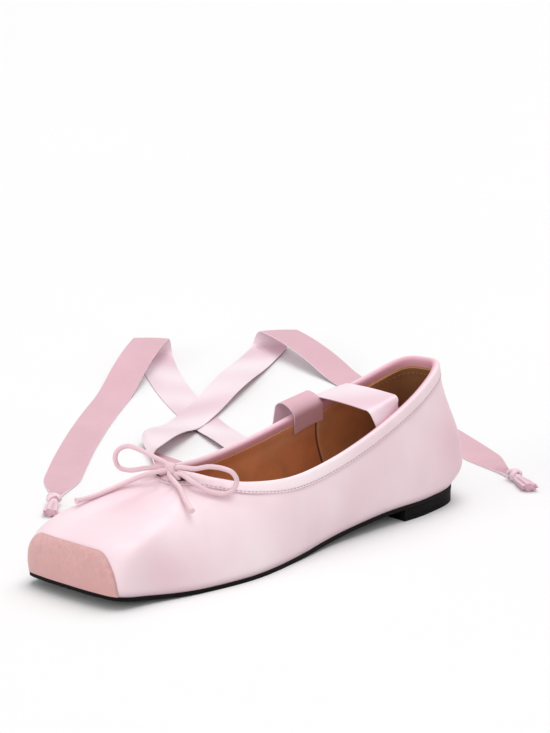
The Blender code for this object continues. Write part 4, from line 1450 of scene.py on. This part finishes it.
class FLAT_OT_binding(Operator):
    """The folded satin binding round the topline and its stitches"""
    bl_idname = "flat.binding"
    bl_label = "Binding"

    def execute(self, context):
        wall = Wall(FINE * 2)
        pitch = sizes().stitch / MM
        top = wall.ring(wall.full)
        run = arc_of(looped(top))
        here = run[:-1]
        pull = 0.5 - 0.5 * np.cos(2 * np.pi * round(run[-1] / pitch) * here / run[-1])
        wander = 1.7 * np.sin(here / 17.0)
        pucker = np.sin(2 * np.pi * here / 5.3 + wander) * np.sin(here / 11.0 + 0.6)
        spread = binding_spread(top)
        rings, heights, seam, inside_shade = [], [], [], []
        v = 0.0
        for k, (deep, off) in enumerate(BINDING_PROFILE):
            out = off
            if off > 0:
                out = (off + 0.10 * pull * bell(deep - 5.2, 0.8)
                       + 0.13 * pucker * bell(deep - 4.3, 1.5)
                       - 0.05 * (1 - pull) * bell(deep - 4.4, 1.2))
            if deep >= 0:
                outside = spread if k < BINDING_TOP else 1.0
                rings.append(wall.ring(wall.full - deep * outside, out))
            else:
                rings.append(wall.crown(-deep, out))
            if k:
                v += math.dist((deep, off), BINDING_PROFILE[k - 1])
            heights.append(v)
            # The seam mark: a painted shade along the stitch line and under the binding's lower
            # edge.
            mark = (bell(deep - BINDING_SEAM, 0.30) * (off > 0)
                    + bell(deep - BINDING_DEEP, 0.25))
            seam.append(np.full(wall.count, min(mark, 1.0)))
            # Painted shade: the inside mark deepens the cloth inside the shoe.
            inside_shade.append(np.full(wall.count, ease(0.5, -2.4, off)))
        for values in (rings, seam, inside_shade):
            values.append(values[0])
        heights.append(v + 3.0)
        grid = np.array(rings)
        obj = grid_piece("satin_binding", grid, run[None, :], heights, "flat_binding",
                         marks={"seam": seam, "inside": inside_shade, "tone": self.tone(grid)})
        clean_up(obj, 60.0)
        dress(obj, "satin_binding", "topline_binding")
        for name, deep, off, sign in (("outside", BINDING_SEAM * spread, 0.47, 1.0),
                                      ("inside", 4.25, -2.62, -1.0)):
            line = wall.ring(wall.full - deep, off)
            out = wall.ring(wall.full - deep, off + sign) - line
            dress(stitch_row("binding_stitches_" + name, looped(line), looped(out),
                             "flat_thread", pitch, pitch * 0.62, sizes().thread / MM),
                  "satin_binding")
        return {"FINISHED"}

    def tone(self, grid):
        """Painted light: a painted highlight towards the throat on the outer side, a painted
        shade on the other.
        """
        near = bell(HALF - grid[:, :, 1] - 128.0, 38.0)
        share = 0.5 + 0.5 * np.tanh(grid[:, :, 0] / 8.0)
        return near * (0.35 - 1.0 * share)


# ------------------------------------------------------------------ toe patch
class FLAT_OT_toe_patch(Operator):
    """The suede patch over the square toe's front"""
    bl_idname = "flat.toe_patch"
    bl_label = "Toe patch"

    def execute(self, context):
        wall = Wall(FINE)
        rows = [r[0] for r in LAST]
        tip = rows.index("toe_tip") * FINE
        reach = tip - rows.index("toe_corner") * FINE
        columns = range(tip - reach, tip + reach + 1)
        middle = np.array([wall.at(i, 15.0) for i in columns])
        width = arc_of(middle)
        side = np.linspace(0.0, PATCH_SIDE, 60)
        rim_line = np.c_[side, [self.tall(x) for x in side]]
        share = np.linspace(0.0, 1.0, PATCH_LEVELS + 1)
        grid, edge = [], []
        for k in share:
            for i, x, medial in zip(columns, width, middle[:, 0] < 0):
                x = min(x, width[-1] - x) * (MEDIAL_CORNER if medial else 1.0)
                h = self.tall(x) * k
                rim = min(np.linalg.norm(rim_line - (x, h), axis=1).min(),
                          max(PATCH_HEIGHT - h, 0.0))
                off = 0.35 + 0.65 * float(ease(0.0, 1.3, rim))
                grid.append(wall.at(i, h, off) - (0.0, 0.0, 0.0 if k else 0.55))
                edge.append(bell(rim, 0.8))
        grid = np.reshape(grid, (len(share), len(columns), 3))
        # The low mark is a painted shade towards the patch's foot.
        obj = grid_piece("suede_toe_patch", grid, width[None, :], PATCH_HEIGHT * share,
                         "flat_suede", False,
                         {"edge": edge, "low": np.repeat(1.0 - share, len(columns))})
        thicken(obj, SUEDE, 0.00015)
        dress(obj, "rose_suede", "toe_patch")
        return {"FINISHED"}

    def tall(self, x):
        """Height of the patch's rounded edge, this far in from its side."""
        share = max(1.0 - x / PATCH_SIDE, 0.0)
        return max(PATCH_HEIGHT * (1.0 - share ** 2.2) ** 0.62, 1.0)


# ----------------------------------------------------------- insole and soles
def plate(name, ring, top, bottom, finish):
    """A closed plate over a plan ring that starts at the heel's back, with
    heights by station and distance from the centre line."""
    share = 0.5 - 0.5 * np.cos(np.pi * np.linspace(0.0, 1.0, PLATE_ACROSS + 1))[:, None]
    rungs = [ring[i] + share * (ring[-i] - ring[i]) for i in range(len(ring) // 2 + 1)]
    flat = np.concatenate(rungs)
    points = [np.c_[flat, height(HALF - flat[:, 1], flat[:, 0])]
              for height in (top, bottom)]
    rows, cols, size = len(rungs), len(share), len(flat)
    faces = []
    for _, _, (a, b, e, d) in cells(rows, cols, False):
        faces += [(a, d, e, b), (size + a, size + b, size + e, size + d)]
    faces += [(a, a + cols, size + a + cols, size + a) for r in range(rows - 1)
              for a in (r * cols, r * cols + cols - 1)]
    obj = make_piece(name, points, faces, [finish])
    clean_up(obj, 40.0)
    return obj


def round_edges(obj, width, segments, angle=50.0):
    """Round a plate's edges and mark them. Slivers and fins that the rounding
    leaves at tight corners are taken out."""
    bevel(obj, width, segments, angle)
    edit(obj, dissolve_degenerate={"threshold": 2 * SLIVER},
         remove_doubles={"threshold": SLIVER})
    bm = bmesh.new()
    bm.from_mesh(obj.data)
    fins = [f for f in bm.faces if any(len(e.link_faces) == 1 for e in f.edges)]
    bmesh.ops.delete(bm, geom=fins, context="FACES")
    bm.verts.index_update()
    near = np.zeros(len(bm.verts))
    for e in bm.edges:
        if len(e.link_faces) == 2 and e.calc_face_angle(0.0) > SHARP:
            near[[v.index for v in e.verts]] = 1.0
    bm.to_mesh(obj.data)
    bm.free()
    add_mark(obj.data, "edge", near)
    shade(obj, 40.0)


class FLAT_OT_insole(Operator):
    """The leather sock inside"""
    bl_idname = "flat.insole"
    bl_label = "Insole"

    def execute(self, context):
        base = SOLE_THICK + GAP

        def top(station, x):
            crown = SOCK_CROWN * np.clip(1.0 - (x / 30.0) ** 2, 0.0, 1.0)
            return underside(station) + base + INSOLE_THICK - SOCK_CROWN + crown

        obj = plate("leather_sock", plan_ring(-WALL - 0.2, FINE), top,
                    lambda s, x: underside(s) + base, "flat_lining")
        round_edges(obj, 0.0006, 3)
        dress(obj, "tan_leather", "insole")
        return {"FINISHED"}


class FLAT_OT_sole(Operator):
    """The outsole and the heel block"""
    bl_idname = "flat.sole"
    bl_label = "Sole"

    def execute(self, context):
        sole = plate("rubber_outsole", plan_ring(SOLE_MARGIN, FINE),
                     lambda s, x: underside(s) + SOLE_THICK - 0.55,
                     lambda s, x: underside(s), "flat_rubber")
        round_edges(sole, 0.00045, 3)
        dress(sole, "sole_rubber", "outsole")
        self.heel(plan_ring(SOLE_MARGIN - 0.2, FINE))
        return {"FINISHED"}

    def heel(self, ring):
        """The block, with a fine groove round it."""
        k = int(np.searchsorted(HALF - ring[:len(ring) // 2, 1], HEEL_BREAST))
        arc = [*ring[-k + 1:], *ring[:k]]
        corner = [np.array([p[0], HALF - HEEL_BREAST]) for p in (arc[-1], arc[0])]
        breast = [corner[0] + (corner[1] - corner[0]) * share
                  + np.array([0.0, math.sin(math.pi * share)])
                  for share in np.arange(13) / 12]
        outline = np.array(arc + breast)
        out = outward(outline)
        rings = []
        for z, inset in HEEL_LEVELS:
            plan = outline + inset * out
            room = underside(HALF - plan[:, 1]) - GAP
            height = room if z is None else z * np.minimum(1.0, room / 3.0)
            rings.append(np.c_[plan, height])
        obj = make_piece("rubber_heel", rings, solid_faces(len(rings), len(outline)),
                         ["flat_rubber"])
        clean_up(obj, 40.0)
        round_edges(obj, 0.00035, 2, 60.0)
        dress(obj, "sole_rubber", "heel_block")


# ---------------------------------------------------------------------- panel
class FLAT_PT_panel(Panel):
    """Lists the pieces of the ballet flat"""
    bl_idname = "FLAT_PT_panel"
    bl_label = "Ballet flat"
    bl_space_type = "VIEW_3D"
    bl_region_type = "UI"
    bl_category = "Ballet flat"

    def draw(self, context):
        layout = self.layout
        for group in (context.scene.flat_sizes, context.scene.flat_looks):
            box = layout.box()
            for key in group.__annotations__:
                box.prop(group, key)
        for operator in OPERATORS:
            layout.operator(operator.bl_idname)


OPERATORS = (FLAT_OT_stage, FLAT_OT_bow, FLAT_OT_ribbons, FLAT_OT_upper,
             FLAT_OT_lining, FLAT_OT_binding, FLAT_OT_toe_patch, FLAT_OT_insole,
             FLAT_OT_sole)
CLASSES = (FLAT_PG_sizes, FLAT_PG_looks) + OPERATORS + (FLAT_PT_panel,)


def register():
    for item in CLASSES:
        bpy.utils.register_class(item)
    bpy.types.Scene.flat_sizes = PointerProperty(type=FLAT_PG_sizes)
    bpy.types.Scene.flat_looks = PointerProperty(type=FLAT_PG_looks)


def unregister():
    del bpy.types.Scene.flat_looks
    del bpy.types.Scene.flat_sizes
    for item in reversed(CLASSES):
        bpy.utils.unregister_class(item)


def main():
    register()
    make_finishes(bpy.context.scene.flat_looks)
    for operator in OPERATORS:
        group, name = operator.bl_idname.split(".")
        getattr(getattr(bpy.ops, group), name)()


if __name__ == "__main__":
    main()
